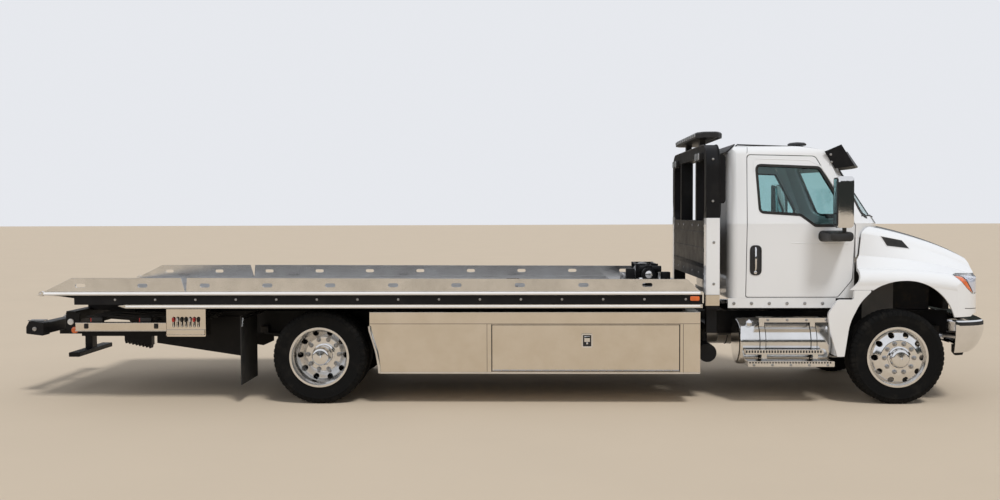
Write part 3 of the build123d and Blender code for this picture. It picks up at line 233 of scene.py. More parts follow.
LOOKS = {
    "white_paint": white_paint(),
    "black_paint": black_paint(),
    "polished": metal("polished", (0.84, 0.84, 0.84), (0.72, 0.71, 0.69), 0.10, 0.22, (0.2, 1, 1), 1.0),
    # The stainless look's warm beige tone is a painted reflection of the warm ground; its cloudy smudges are
    # real.
    "stainless": metal("stainless", (0.80, 0.75, 0.68), (0.72, 0.66, 0.57), 0.06, 0.14, (0.1, 1, 2), 3.0),
    "chrome": metal("chrome", (0.86, 0.86, 0.87), (0.74, 0.74, 0.74), 0.03, 0.09, (1, 1, 1), 1.0),
    "steel": metal("steel", (0.50, 0.50, 0.51), (0.36, 0.35, 0.33), 0.30, 0.55, (0.1, 1, 1), 1.0),
    "tyre": tyre_rubber(),
    "rubber": grained("rubber", (0.018, 0.018, 0.018), (0.05, 0.046, 0.04), 0.75, 90),
    "plastic": grained("plastic", (0.016, 0.016, 0.017), (0.04, 0.04, 0.04), 0.45, 500),
    "trim": grained("trim", (0.05, 0.05, 0.054), (0.075, 0.075, 0.078), 0.6, 400),
    "fabric": seat_fabric(),
    "glass": glazing("glass", (0.55, 0.74, 0.74)),
    "lens": glazing("lens", (0.92, 0.93, 0.95)),
    "iron": cast_iron(),
}
AMBER = lamp_lens("amber_lens", (0.80, 0.15, 0.02), 0.10)
RED = lamp_lens("red_lens", (0.60, 0.02, 0.015), 0.15)
CLEAR = lamp_lens("clear_lens", (0.80, 0.82, 0.84), 0.05)
LENS = lamp_lens("headlamp_lens", (0.66, 0.70, 0.82), 0.02)
# Flat white look for the bright aluminium rub rails: a painted reflection of the sky.
RAIL_SKY_SHEEN = grained("rail_painted_sky_sheen", (0.88, 0.88, 0.88), (0.80, 0.80, 0.79), 0.3, 200)
LINER = grained("liner_plastic", (0.16, 0.155, 0.15), (0.24, 0.23, 0.21), 0.6, 300)

for part in frame["record"]["subparts"]:
    cad_mesh = NODES[part["node"]].data
    cad_mesh.materials.clear()
    cad_mesh.materials.append(LOOKS[part["material_slot"]])

# Outlines and profiles


def row(first, pitch, count):
    """Evenly spaced places along a line."""
    return [first + step * pitch for step in range(count)]


def rounded(points, radius, steps=5):
    """Outline of (a, b) points with its corners rounded."""
    result = []
    for index, point in enumerate(points):
        here = Vector(point)
        before = Vector(points[index - 1]) - here
        after = Vector(points[(index + 1) % len(points)]) - here
        half_turn = before.angle(after) / 2
        reach = min(radius / math.tan(half_turn), 0.45 * before.length, 0.45 * after.length)
        start = here + before.normalized() * reach
        end = here + after.normalized() * reach
        for step in range(steps + 1):
            share = step / steps
            result.append(start.lerp(here, share).lerp(here.lerp(end, share), share))
    return result


def oblong(a_low, b_low, a_high, b_high, radius=0.0, steps=5):
    """Outline of a rectangle, with its corners rounded where a radius is given."""
    corners = [(a_low, b_low), (a_low, b_high), (a_high, b_high), (a_high, b_low)]
    return rounded(corners, radius, steps) if radius else corners


def grown(outline, amount):
    """Outline of (a, b) points moved outward by an amount, with as many points as before."""
    area = sum(a[0] * b[1] - b[0] * a[1] for a, b in zip(outline, outline[1:] + outline[:1]))
    turn = 1 if area > 0 else -1
    moved = []
    for index, point in enumerate(outline):
        before = (Vector(point) - Vector(outline[index - 1])).normalized()
        after = (Vector(outline[(index + 1) % len(outline)]) - Vector(point)).normalized()
        along = (before + after).normalized()
        moved.append((point[0] + along.y * turn * amount, point[1] - along.x * turn * amount))
    return moved


def shrunk(outline, middle, share):
    """Outline of vectors drawn towards a middle point."""
    return [middle + (point - middle) * share for point in outline]


def stud(radius, shoulder, top_radius, height, crown=None):
    """Profile of a round stud or lens: straight up to its shoulder, then in to its top."""
    return [(0, 0), (radius, 0), (radius, shoulder), (top_radius, height), (0, crown or height)]


def collar(inner, outer, low, high):
    """Profile of a plain ring, from low to high along its axis."""
    return [(inner, low), (outer, low), (outer, high), (inner, high)]


def circle(radius, steps):
    """Points round a circle."""
    return [
        (radius * math.cos(2 * math.pi * step / steps), radius * math.sin(2 * math.pi * step / steps))
        for step in range(steps)
    ]


# Radius that stands for a point on the axis
POINT_RADIUS = 1e-4


def spun(profile, centre, axis, steps):
    """Rings of a profile of (radius, distance along the axis) turned about an axis through centre."""
    turned = Vector(UPWARD).rotation_difference(Vector(axis)).to_matrix()
    return [
        [Vector(centre) + turned @ Vector((a, b, along)) for a, b in circle(max(radius, POINT_RADIUS), steps)]
        for radius, along in profile
    ]


def outside(node, x, z):
    """How far out the side of a CAD node stands at a place along the truck and a height."""
    found, place, _, _ = NODES[node].ray_cast(Vector((x + REAR_AXLE_X, -3, z)), Vector((0, 1, 0)))
    return -place.y if found else 0.0


# Pieces

BAND_SUNK = 0.004
PATCH_PROUD = 0.002
PATCH_SUNK = 0.004
PATCH_COLUMNS, PATCH_ROWS = 16, 8


class Piece:
    """Mesh built up from simple forms, with x from the rear axle and y outward from the truck's middle."""

    def __init__(self, name):
        self.name = name
        self.mesh = bmesh.new()

    def soften(self, edges, bevel):
        """Round some edges, each once and in the order given."""
        once = list(dict.fromkeys(edges))
        bmesh.ops.bevel(self.mesh, geom=once, offset=bevel, segments=2, affect="EDGES", profile=0.5)

    def box(self, low, high, bevel):
        """Box between two corners, with its edges rounded."""
        middle = (Vector(low) + Vector(high)) / 2
        size = Vector(high) - Vector(low)
        placed = Matrix.Translation(middle) @ Matrix.Diagonal((*size, 1))
        made = bmesh.ops.create_cube(self.mesh, size=1, matrix=placed)
        self.soften([edge for vert in made["verts"] for edge in vert.link_edges], bevel)
        return self

    def skin(self, rings, closed=False, caps=True):
        """Faces over rings that have the same number of points."""
        rows = [[self.mesh.verts.new(point) for point in ring] for ring in rings]
        pairs = list(zip(rows, rows[1:])) + ([(rows[-1], rows[0])] if closed else [])
        for first, last in pairs:
            for index in range(len(first)):
                after = (index + 1) % len(first)
                self.mesh.faces.new((first[index], first[after], last[after], last[index]))
        if caps and not closed:
            self.mesh.faces.new(rows[0])
            self.mesh.faces.new(list(reversed(rows[-1])))
        return self

    def prism(self, outline, low, high, plane="XZ", bevel=0.0):
        """Outline in a plane, given a thickness from low to high across it."""
        place = {
            "XZ": lambda a, b, depth: (a, depth, b),
            "YZ": lambda a, b, depth: (depth, a, b),
            "XY": lambda a, b, depth: (a, b, depth),
        }[plane]
        first = len(self.mesh.faces)
        self.skin([[place(a, b, depth) for a, b in outline] for depth in (low, high)])
        if bevel:
            self.mesh.faces.ensure_lookup_table()
            caps = [face for face in self.mesh.faces[first:] if len(face.verts) == len(outline)][-2:]
            self.soften([edge for face in caps for edge in face.edges], bevel)
        return self

    def lathe(self, profile, centre, axis=OUTWARD, steps=32):
        """Profile turned about an axis through centre."""
        return self.skin(spun(profile, centre, axis, steps))

    def ring(self, profile, centre, axis=OUTWARD, steps=32):
        """Closed profile turned about an axis, with a hole in its middle."""
        return self.skin(spun(profile, centre, axis, steps), closed=True)

    def tube(self, points, radius, steps=10):
        """Round bar along a path."""
        path = [Vector(point) for point in points]
        heading = path[1] - path[0]
        across = heading.orthogonal().normalized()
        rings = []
        for index, point in enumerate(path):
            ahead = path[min(index + 1, len(path) - 1)] - path[max(index - 1, 0)]
            across = (across - ahead * across.dot(ahead) / ahead.length_squared).normalized()
            up = ahead.normalized().cross(across)
            rings.append([point + across * a + up * b for a, b in circle(radius, steps)])
        return self.skin(rings)

    def bolt(self, place, radius, height, outward=OUTWARD):
        """Hexagon bolt head with a washer."""
        washer = [(0, 0), (radius * 1.35, 0), (radius * 1.35, 0.003), (radius, 0.003), (0, 0.003)]
        head = [(0, 0.002), (radius, 0.002), (radius, height * 0.8), (radius * 0.8, height), (0, height)]
        return self.lathe(washer, place, outward, 14).lathe(head, place, outward, 6)

    def band(self, outline, width, place, proud, inset=0.0):
        """Raised band that follows an outline; place turns (a, b, height) into a point."""
        rings = []
        half = width / 2
        for offset, height in ((half, -BAND_SUNK), (half, proud), (-half, proud), (-half, -BAND_SUNK)):
            rings.append([place(a, b, height) for a, b in grown(outline, offset + inset)])
        return self.skin(rings, closed=True)

    def patch(self, node, corners):
        """Thin skin that lies on the side of a CAD node between four corners (x, z)."""
        a, b, c, d = (Vector(corner) for corner in corners)
        rings = []
        for column in range(PATCH_COLUMNS + 1):
            low = b.lerp(c, column / PATCH_COLUMNS)
            high = a.lerp(d, column / PATCH_COLUMNS)
            line = [low.lerp(high, step / PATCH_ROWS) for step in range(PATCH_ROWS + 1)]
            reach = [outside(node, x, z) for x, z in line]
            outer = [(x, y + PATCH_PROUD, z) for (x, z), y in zip(line, reach)]
            inner = [(x, y - PATCH_SUNK, z) for (x, z), y in zip(line, reach)]
            rings.append(outer + inner[::-1])
        return self.skin(rings)

    def done(self, body, slot, side=0, look=None, smooth=38):
        """Object that rides on a body. Side 0 leaves y as it is, -1 puts the piece on the right,
        1 on the left, and "both" makes one on each side."""
        mesh = self.mesh
        if side == -1:
            bmesh.ops.scale(mesh, vec=(1, -1, 1), verts=mesh.verts)
        if side == "both":
            copy = bmesh.ops.duplicate(mesh, geom=mesh.verts[:] + mesh.edges[:] + mesh.faces[:])
            mirrored = [item for item in copy["geom"] if isinstance(item, bmesh.types.BMVert)]
            bmesh.ops.scale(mesh, vec=(1, -1, 1), verts=mirrored)
        bmesh.ops.translate(mesh, vec=(REAR_AXLE_X, 0, 0), verts=mesh.verts)
        bmesh.ops.recalc_face_normals(mesh, faces=mesh.faces)
        limit = math.radians(smooth)
        for face in mesh.faces:
            face.smooth = True
        for edge in mesh.edges:
            edge.smooth = len(edge.link_faces) == 2 and edge.calc_face_angle(0) < limit
        data = bpy.data.meshes.new(self.name)
        mesh.to_mesh(data)
        mesh.free()
        data.materials.append(look or LOOKS[slot])
        made = bpy.data.objects.new(self.name, data)
        bpy.context.scene.collection.objects.link(made)
        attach(made, body)
        return made


def bolted(name, body, places, radius, height, side="both", outward=OUTWARD):
    """Piece of like bolts on a body."""
    piece = Piece(name)
    for place in places:
        piece.bolt(place, radius, height, outward)
    piece.done(body, "steel", side)


def plates(name, outlines, low, high, plane="XZ", bevel=0.0):
    """Piece of plates with the same thickness."""
    piece = Piece(name)
    for outline in outlines:
        piece.prism(outline, low, high, plane, bevel)
    return piece


# Tyres: half profile of (radius, distance out from the tyre's middle), from bead to tread middle
TYRE_HALF = [
    (0.288, 0.086), (0.289, 0.100), (0.299, 0.108), (0.304, 0.113), (0.309, 0.112), (0.345, 0.121),
    (0.385, 0.1245), (0.405, 0.1240), (0.408, 0.1255), (0.413, 0.1253), (0.415, 0.1225), (0.436, 0.117),
    (0.449, 0.111), (0.458, 0.1035), (0.4625, 0.096), (0.4632, 0.0725), (0.451, 0.0690),
    (0.451, 0.0630), (0.4644, 0.0595), (0.4649, 0.0270), (0.452, 0.0240), (0.452, 0.0180), (0.465, 0.0150),
]
# First and last point of the profile that the gaps between the shoulder's lugs cut into
SHOULDER = (10, 15)
# Where a lug's points lie in its share of the turn; the gap starts at the third
LUG_SHARES = (0.0, 0.60, 0.66, 0.94)
GAP_START = 2
LUGS = 56
LUG_DEPTH = 0.004
FRONT_TYRE_Y = 1.05
TWIN_TYRES_Y = (0.785, 1.075)


def tyre(piece, x, y_middle):
    """One tyre with ribs round its tread and lugs along its shoulders."""
    profile = TYRE_HALF + [(radius, -out) for radius, out in reversed(TYRE_HALF)]
    last = len(profile) - 1
    angles = [(lug + share) / LUGS for lug in range(LUGS) for share in LUG_SHARES]
    columns = []
    for index, (radius, out) in enumerate(profile):
        from_bead = min(index, last - index)
        cut_here = SHOULDER[0] <= from_bead <= SHOULDER[1]
        ring = []
        for step, share in enumerate(angles):
            cut = LUG_DEPTH if cut_here and step % len(LUG_SHARES) >= GAP_START else 0.0
            reach = radius - cut
            angle = 2 * math.pi * share
            narrow = math.copysign(max(abs(out) - cut * 0.5, 0.0), out)
            ring.append((x + reach * math.sin(angle), y_middle + narrow, AXLE_Z + reach * math.cos(angle)))
        columns.append(ring)
    return piece.skin(columns, caps=False)


def tyres():
    """Single tyres in front and twins behind, in place of the plain ones."""
    for name, side in SIDES:
        front = tyre(Piece(f"road_tyre_front_{name}"), FRONT_AXLE, FRONT_TYRE_Y).done(
            f"front_wheel_{name}", "tyre", side, smooth=30
        )
        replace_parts(front, f"front_tyre_{name}")
        twins = Piece(f"road_tyres_rear_{name}")
        for middle in TWIN_TYRES_Y:
            tyre(twins, 0, middle)
        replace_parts(twins.done(f"rear_wheels_{name}", "tyre", side, smooth=30), f"rear_tyres_{name}")


WHEEL_NUTS = 10
NUT_PROFILE = [
    (0.0, -0.002), (0.024, -0.002), (0.024, 0.004), (0.018, 0.006),
    (0.0165, 0.024), (0.011, 0.031), (0.0, 0.033),
]
# Place, body, x, radius and y of the nuts' circle, then radius and y of the disc's edge and of the hub cap
WHEELS = (
    ("front", "front_wheel", FRONT_AXLE, 0.144, 1.202, 0.262, 1.130, 0.100, 1.204),
    ("rear", "rear_wheels", 0, 0.156, 0.963, 0.255, 1.012, 0.098, 0.956),
)


def wheel_nuts():
    """Capped nuts on each wheel's disc, rings round the hub cap and at the disc's edge, and an air valve."""
    for name, side in SIDES:
        for place, body, x, nut_circle, nut_y, edge, edge_y, hub, hub_y in WHEELS:
            nuts = Piece(f"wheel_nuts_{place}_{name}")
            for a, b in circle(nut_circle, WHEEL_NUTS):
                nuts.lathe(NUT_PROFILE, (x + a, nut_y, AXLE_Z + b), steps=12)
            nuts.done(f"{body}_{name}", "chrome", side, LOOKS["steel"])
            rings = Piece(f"wheel_rings_{place}_{name}")
            rings.ring(
                [(hub - 0.002, 0), (hub + 0.010, 0.001), (hub + 0.012, 0.010), (hub - 0.002, 0.014)],
                (x, hub_y, AXLE_Z), steps=72,
            )
            rings.ring(collar(edge, edge + 0.006, 0, 0.006), (x, edge_y, AXLE_Z), steps=72)
            valve_y = nut_y - 0.06
            rings.tube(
                [(x + 0.19, valve_y, AXLE_Z + 0.14), (x + 0.185, valve_y + 0.05, AXLE_Z + 0.136)], 0.005, 8,
            )
            rings.done(f"{body}_{name}", "chrome", side)


# Cab

BELT_Z = 1.78
CAB_LEAN = 0.1457
SIDE_WINDOW = rounded([
    (4.400, 1.895), (4.372, 2.370), (5.000, 2.342), (5.238, 1.925),
    (5.250, 1.760), (4.945, 1.758), (4.800, 1.868),
], 0.05)
HANDLE_X = 4.352
HANDLE_RECESS = oblong(4.303, 1.272, 4.407, 1.560, 0.05, 8)
MIRROR_FOOT = oblong(4.990, 1.605, 5.250, 1.705, 0.045, 6)
MIRROR_PLAN = rounded([
    (5.058, 1.215), (5.058, 1.345), (5.130, 1.348), (5.232, 1.318), (5.235, 1.215),
], 0.05, 6)
MIRROR_OPENING = oblong(1.228, 1.762, 1.334, 2.218, 0.025)
MIRROR_FACE_X = 5.060
# Height and width share of the mirror head's sections
MIRROR_SECTIONS = (
    (1.742, 0.86), (1.750, 0.94), (1.765, 0.985), (1.80, 1.0),
    (2.18, 1.0), (2.215, 0.975), (2.232, 0.90), (2.239, 0.78),
)


def cab_side(z):
    """Half width of the cab at a height: upright below the belt line, leaning in above it."""
    return 1.0 - CAB_LEAN * max(z - BELT_Z, 0)


def on_side(x, z, height):
    """Point that stands off the cab's side by a height."""
    return (x, cab_side(z) + height, z)


def door_trim(name, side):
    """Window seals, handle and pressed lines of one door."""
    body = f"door_{name}"
    Piece(f"window_seal_{name}").band(SIDE_WINDOW, 0.026, on_side, 0.003).done(body, "rubber", side)
    channel = Piece(f"window_channel_{name}")
    channel.band(SIDE_WINDOW, 0.020, lambda x, z, height: (x, cab_side(z) - 0.040 + height, z), 0.012, -0.006)
    channel.done(body, "rubber", side)

    cup = Piece(f"handle_cup_{name}").prism(HANDLE_RECESS, 0.990, 1.002, bevel=0.002)
    cup.band(HANDLE_RECESS, 0.012, lambda x, z, height: (x, 1.0 + height, z), 0.006)
    cup.done(body, "plastic", side)
    grip = Piece(f"handle_grip_{name}")
    bow = [(0.998, 1.315), (1.016, 1.335), (1.020, 1.425), (1.016, 1.520), (0.998, 1.540)]
    grip.tube([(HANDLE_X, y, z) for y, z in bow], 0.012, 12)
    grip.lathe(stud(0.016, 0.006, 0.013, 0.008), (HANDLE_X, 1.0, 1.293), steps=20)
    grip.done(body, "chrome", side)

    crease = Piece(f"door_crease_{name}")
    line = [(4.345, 2.30), (4.345, 2.405), (4.370, 2.432), (4.900, 2.414), (5.020, 2.350), (5.140, 2.150)]
    crease.tube([on_side(x, z, -0.002) for x, z in line], 0.007, 8)
    crease.tube([(4.70, 0.9975, 1.590), (5.00, 0.9975, 1.577), (5.27, 0.9975, 1.578)], 0.005, 8)
    crease.done(body, "white_paint", side)


def mirror(name, side):
    """Foot, head, rim and glass of one mirror, which rides on its door."""
    body = f"door_{name}"
    foot = Piece(f"mirror_base_{name}")
    rings = []
    for out, share in ((0.999, 1.12), (1.02, 1.0), (1.24, 0.96), (1.29, 0.85), (1.302, 0.6)):
        rings.append([(a, out, b) for a, b in shrunk(MIRROR_FOOT, Vector((5.13, 1.655)), share)])
    foot.skin(rings)
    foot.lathe([(0, 0), (0.020, 0), (0.020, 0.045), (0, 0.045)], (5.15, 1.262, 1.70), UPWARD, 16)
    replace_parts(foot.done(body, "plastic", side), f"mirror_{name}")

    head = Piece(f"mirror_head_{name}")
    rings = []
    for z, share in MIRROR_SECTIONS:
        rings.append([(a, b, z) for a, b in shrunk(MIRROR_PLAN, Vector((5.14, 1.28)), share)])
    head.skin(rings).done(body, "chrome", side)
    rim = Piece(f"mirror_rim_{name}")
    rim.band(MIRROR_OPENING, 0.016, lambda y, z, height: (MIRROR_FACE_X - height, y, z), 0.006)
    rim.box((5.053, 1.235, 1.872), (MIRROR_FACE_X, 1.328, 1.884), 0.001)
    rim.done(body, "plastic", side)
    glass = Piece(f"mirror_glass_{name}").prism(grown(MIRROR_OPENING, -0.006), 5.0545, MIRROR_FACE_X, "YZ")
    glass.done(body, "chrome", side)


def doors():
    """Trim and mirror of each door."""
    for name, side in SIDES:
        door_trim(name, side)
        mirror(name, side)


# Windscreen at the belt line and at its top: x of its corners, x of its middle, and half width
SCREEN_TOP_Z = 2.62
SCREEN_CORNER_X = (5.340, 5.030)
SCREEN_APEX_X = (5.800, 5.230)
SCREEN_HALF = (1.0, 0.885)


def windscreen_x(y, z):
    """Where the bowed windscreen stands at a place across the cab and a height."""
    share = (z - BELT_Z) / (SCREEN_TOP_Z - BELT_Z)
    corner, apex, half = (
        low + (high - low) * share for low, high in (SCREEN_CORNER_X, SCREEN_APEX_X, SCREEN_HALF)
    )
    radius = (half ** 2 + (apex - corner) ** 2) / (2 * (apex - corner))
    return apex - radius + math.sqrt(radius ** 2 - y ** 2)


def roof_trim():
    """Rear window seal, roof mouldings and ribs, and the antenna."""
    rear = Piece("rear_window_seal")
    rear_window = rounded([(-0.56, 1.85), (-0.54, 2.33), (0.54, 2.33), (0.56, 1.85)], 0.06)
    rear.band(rear_window, 0.05, lambda y, z, height: (4.083 + (z - BELT_Z) * 0.0357 - height, y, z), 0.008)
    rear.done("chassis", "rubber")

    roof = Piece("roof_mouldings")
    roof.tube([
        (4.130, 0.835, 2.520), (4.200, 0.830, 2.578), (4.84, 0.835, 2.553), (5.03, 0.838, 2.522),
        (5.08, 0.838, 2.508),
    ], 0.007, 8)
    roof.done("chassis", "rubber", "both")
    ribs = Piece("roof_ribs")
    for step in range(7):
        share = step / 6
        ribs.tube([(4.088 + 0.082 * share, y, 2.500 + 0.078 * share) for y in (-0.80, 0.80)], 0.007, 8)
    ribs.prism([(4.090, 2.496), (4.082, 2.503), (4.172, 2.586), (4.180, 2.580)], -0.82, 0.82)
    ribs.done("chassis", "plastic")

    antenna = Piece("roof_antenna")
    dome = [(0, 0), (0.055, 0), (0.050, 0.060), (0.095, 0.072), (0.098, 0.086), (0.080, 0.100), (0, 0.108)]
    antenna.lathe(dome, (4.95, -0.25, 2.532), UPWARD, 40).done("chassis", "plastic")


def screen_trim():
    """Wipers, windscreen seal, visor bolts, and the cab's corners, seams and sill bolts."""
    cowl = Piece("cowl_and_wipers")
    for y in (-0.15, 0.50):
        hub = [(0, 0), (0.018, 0), (0.016, 0.014), (0, 0.018)]
        cowl.lathe(hub, (windscreen_x(y, 1.830), y, 1.830), (0.5, 0, 0.86), 16)
        arm = [(y, 1.836), (y - 0.20, 1.842), (y - 0.42, 1.852)]
        blade = [(y - 0.70, 1.856), (y - 0.42, 1.859), (y - 0.12, 1.862)]
        for line, off in ((arm, 0.008), (blade, 0.004)):
            cowl.tube([(windscreen_x(b, z) + off, b, z) for b, z in line], 0.006, 8)
    cowl.done("chassis", "plastic")

    corner = Piece("cowl_corners")
    rings = []
    for z, front in ((1.440, 5.352), (1.475, 5.370), (1.600, 5.388), (1.652, 5.396)):
        in_plan = 0.89 * (front - 5.345)
        outline = ((5.343, 0.940), (5.343, 0.9956), (front, 0.9956 - in_plan), (front, 0.9756 - in_plan))
        rings.append([(x, y, z) for x, y in outline])
    corner.skin(rings).done("chassis", "white_paint", "both")
    seam = Piece("cab_seams")
    line = [(4.283, 2.487), (4.287, 2.510), (4.290, 2.530), (4.293, 2.548)]
    seam.tube([(x, outside("cab_shell", x, z), z) for x, z in line], 0.0025, 8)
    seam.done("chassis", "rubber", "both")
    bolted("visor_bolts", "chassis", ((5.118, 0.930, 2.395), (5.110, 0.930, 2.470)), 0.009, 0.006)
    seal = Piece("windscreen_seal")
    screen = rounded([(-0.83, 1.85), (-0.74, 2.405), (0.74, 2.405), (0.83, 1.85)], 0.065)
    seal.band(
        screen, 0.045, lambda y, z, height: (windscreen_x(y, z) + height * 0.8, y, z + height * 0.5), 0.006
    )
    seal.done("chassis", "rubber")
    bolted("sill_bolts", "chassis", [(x, 1.000, 0.983) for x in row(4.140, 0.176, 6)], 0.012, 0.007)


SEAT_Y = 0.48
SEAT_HALF = 0.24
HEADREST_HALF = 0.13
CUSHION_STEPS = 24
CHANNEL_DEPTH = 0.012


def cushion(name, low, high, channels):
    """Crowned seat cushion with its edges pulled in and sewn channels across it."""
    piece = Piece(name)
    low, high = Vector(low), Vector(high)
    steps = CUSHION_STEPS
    size = high - low
    for face_side in (-1, 1):
        rows = []
        for a in range(steps + 1):
            line = []
            for b in range(steps + 1):
                u, v = 2 * a / steps - 1, 2 * b / steps - 1
                edge = (1 - u ** 6) * (1 - v ** 6)
                groove = max(0, 1 - abs(math.sin(math.pi * channels * (v + 1) / 2)) * 6) if channels else 0
                crown = 0.5 * size.z * (edge ** 0.35) - groove * CHANNEL_DEPTH * edge
                x, y = low.x + size.x * (u + 1) / 2, low.y + size.y * (v + 1) / 2
                line.append(piece.mesh.verts.new((x, y, low.z + size.z / 2 + face_side * crown)))
            rows.append(line)
        for a in range(steps):
            for b in range(steps):
                piece.mesh.faces.new((rows[a][b], rows[a + 1][b], rows[a + 1][b + 1], rows[a][b + 1]))
    bmesh.ops.remove_doubles(piece.mesh, verts=piece.mesh.verts, dist=0.0005)
    return piece


def leaned(piece, degrees, place):
    """Piece turned about the y axis and then moved to a place."""
    mesh = piece.mesh
    turn = Matrix.Rotation(math.radians(degrees), 3, "Y")
    bmesh.ops.rotate(mesh, verts=mesh.verts, cent=(0, 0, 0), matrix=turn)
    bmesh.ops.translate(mesh, verts=mesh.verts, vec=place)
    return piece


def seats():
    """Two seats with crowned cushions, backs and headrests on their frames."""
    for name, side in SIDES:
        middle = side * SEAT_Y
        y_low, y_high = middle - SEAT_HALF, middle + SEAT_HALF
        base = cushion(f"seat_cushion_{name}", (4.30, y_low, 1.335), (4.80, y_high, 1.452), 3)
        seat = base.done("chassis", "fabric", smooth=60)
        upright = cushion(f"seat_back_{name}", (-0.30, y_low, -0.055), (0.30, y_high, 0.055), 3)
        back = leaned(upright, 98, (4.255, 0, 1.72)).done("chassis", "fabric", smooth=60)
        y_low, y_high = middle - HEADREST_HALF, middle + HEADREST_HALF
        pad = cushion(f"seat_headrest_{name}", (-0.09, y_low, -0.045), (0.09, y_high, 0.045), 0)
        rest = leaned(pad, 95, (4.205, 0, 2.09)).done("chassis", "fabric", smooth=60)
        stand = Piece(f"seat_frame_{name}")
        y_low, y_high = middle - SEAT_HALF, middle + SEAT_HALF
        stand.box((4.36, y_low + 0.05, 1.075), (4.70, y_high - 0.05, 1.16), 0.01)
        legs = [(4.40, 1.15), (4.66, 1.15), (4.62, 1.34), (4.44, 1.34)]
        stand.prism(legs, y_low + 0.07, y_high - 0.07, bevel=0.01)
        for y in (middle - 0.05, middle + 0.05):
            stand.tube([(4.23, y, 1.98), (4.215, y, 2.08)], 0.007, 8)
        made = stand.done("chassis", "trim")
        if name == "right":
            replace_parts(made, "seats")


# Hood, lamps and bumper

HOOD_VENT = [(5.615, 1.652), (5.677, 1.551), (5.932, 1.520), (5.857, 1.607)]
TURN_LENS = [(6.276, 1.264), (6.398, 1.138), (6.476, 1.090), (6.352, 1.252)]
TOW_HOOK = [
    (6.51, 0.51), (6.51, 0.43), (6.54, 0.395), (6.61, 0.400), (6.62, 0.43), (6.57, 0.44), (6.55, 0.51),
]
HEADLAMP_LENS = [(6.360, 1.262), (6.488, 1.092), (6.665, 1.094), (6.665, 1.250)]


def hood_trim():
    """Vents, lenses and the nose's seam, which tilt with the hood, and the strip and hooks of the bumper."""
    for name, side in SIDES:
        Piece(f"hood_vent_{name}").patch("hood", HOOD_VENT).done("hood", "rubber", side)
        rim = Piece(f"hood_vent_rim_{name}")
        for start, end in zip(HOOD_VENT, HOOD_VENT[1:] + HOOD_VENT[:1]):
            points = [Vector(start).lerp(Vector(end), step / 8) for step in range(9)]
            rim.tube([(x, outside("hood", x, z), z) for x, z in points], 0.004, 8)
        rim.done("hood", "white_paint", side)
        Piece(f"turn_lens_{name}").patch("headlamps", TURN_LENS).done("hood", "lens", side, AMBER)
        Piece(f"headlamp_lens_{name}").patch("headlamps", HEADLAMP_LENS).done("hood", "lens", side, LENS)
        line = Piece(f"nose_line_{name}")
        points = [(6.37 + step * 0.022, 0.944 - step * 0.0015) for step in range(12)]
        line.tube([(x, outside("hood", x, z) - 0.001, z) for x, z in points], 0.0035, 8)
        line.done("hood", "rubber", side)
    shield = Piece("splash_shields")
    outline = [(5.590, 0.760), (5.590, 1.030), (5.700, 1.130), (5.915, 1.165), (5.915, 0.760)]
    shield.prism(outline, 0.433, 0.441, bevel=0.002)
    for x in (5.63, 5.75, 5.87):
        shield.bolt((x, 0.441, 0.80), 0.012, 0.007)
    shield.done("chassis", "plastic", "both", LINER)
    rings = []
    for x in row(6.32, 0.018, 19):
        y = outside("front_bumper", x, 0.785)
        section = ((-0.006, 0.770), (0.005, 0.772), (0.003, 0.806), (-0.008, 0.808))
        rings.append([(x, y + off, z) for off, z in section])
    Piece("bumper_strip").skin(rings).done("chassis", "rubber", "both")
    Piece("tow_hooks").prism(TOW_HOOK, 0.475, 0.525, bevel=0.004).done("chassis", "black_paint", "both")


# Deck

MARKER_X = 3.705


def deck_trim():
    """Bolts, lamps and end pieces along the deck's edges."""
    bolted("band_bolts", "deck", [(x, 1.276, 1.050) for x in row(-2.01, 0.402, 15)], 0.009, 0.006)
    line = Piece("rub_rail_face")
    line.tube([(-2.715, 1.287, 1.110), (3.756, 1.287, 1.110)], 0.0165, 16)
    line.tube([(-1.90, 1.281, 0.982), (3.757, 1.281, 0.982)], 0.0135, 16)
    # The aluminium rub rails get the flat white look, a painted reflection of the sky.
    line.done("deck", "polished", "both", RAIL_SKY_SHEEN)
    ends = Piece("rub_rail_ends").ring(collar(0.014, 0.026, 0, 0.03), (-2.745, 1.262, 1.110), steps=24)
    ends.done("deck", "polished", "both")
    marker = Piece("side_marker_front")
    lens = oblong(MARKER_X - 0.045, 1.035, MARKER_X + 0.045, 1.080, 0.012)
    marker.prism(lens, 1.275, 1.288, bevel=0.003).done("deck", "lens", "both", AMBER)
    tail = Piece("tail_lamps")
    for y in (0.20, 0.0, -0.20):
        tail.prism(oblong(y - 0.05, 1.022, y + 0.05, 1.058, 0.012), -2.408, -2.395, "YZ", 0.003)
    for y in (-1.12, 1.12):
        tail.lathe(stud(0.050, 0.010, 0.040, 0.016, 0.018), (-2.399, y, 1.042), BACKWARD, 32)
    tail.done("deck", "lens", look=RED)


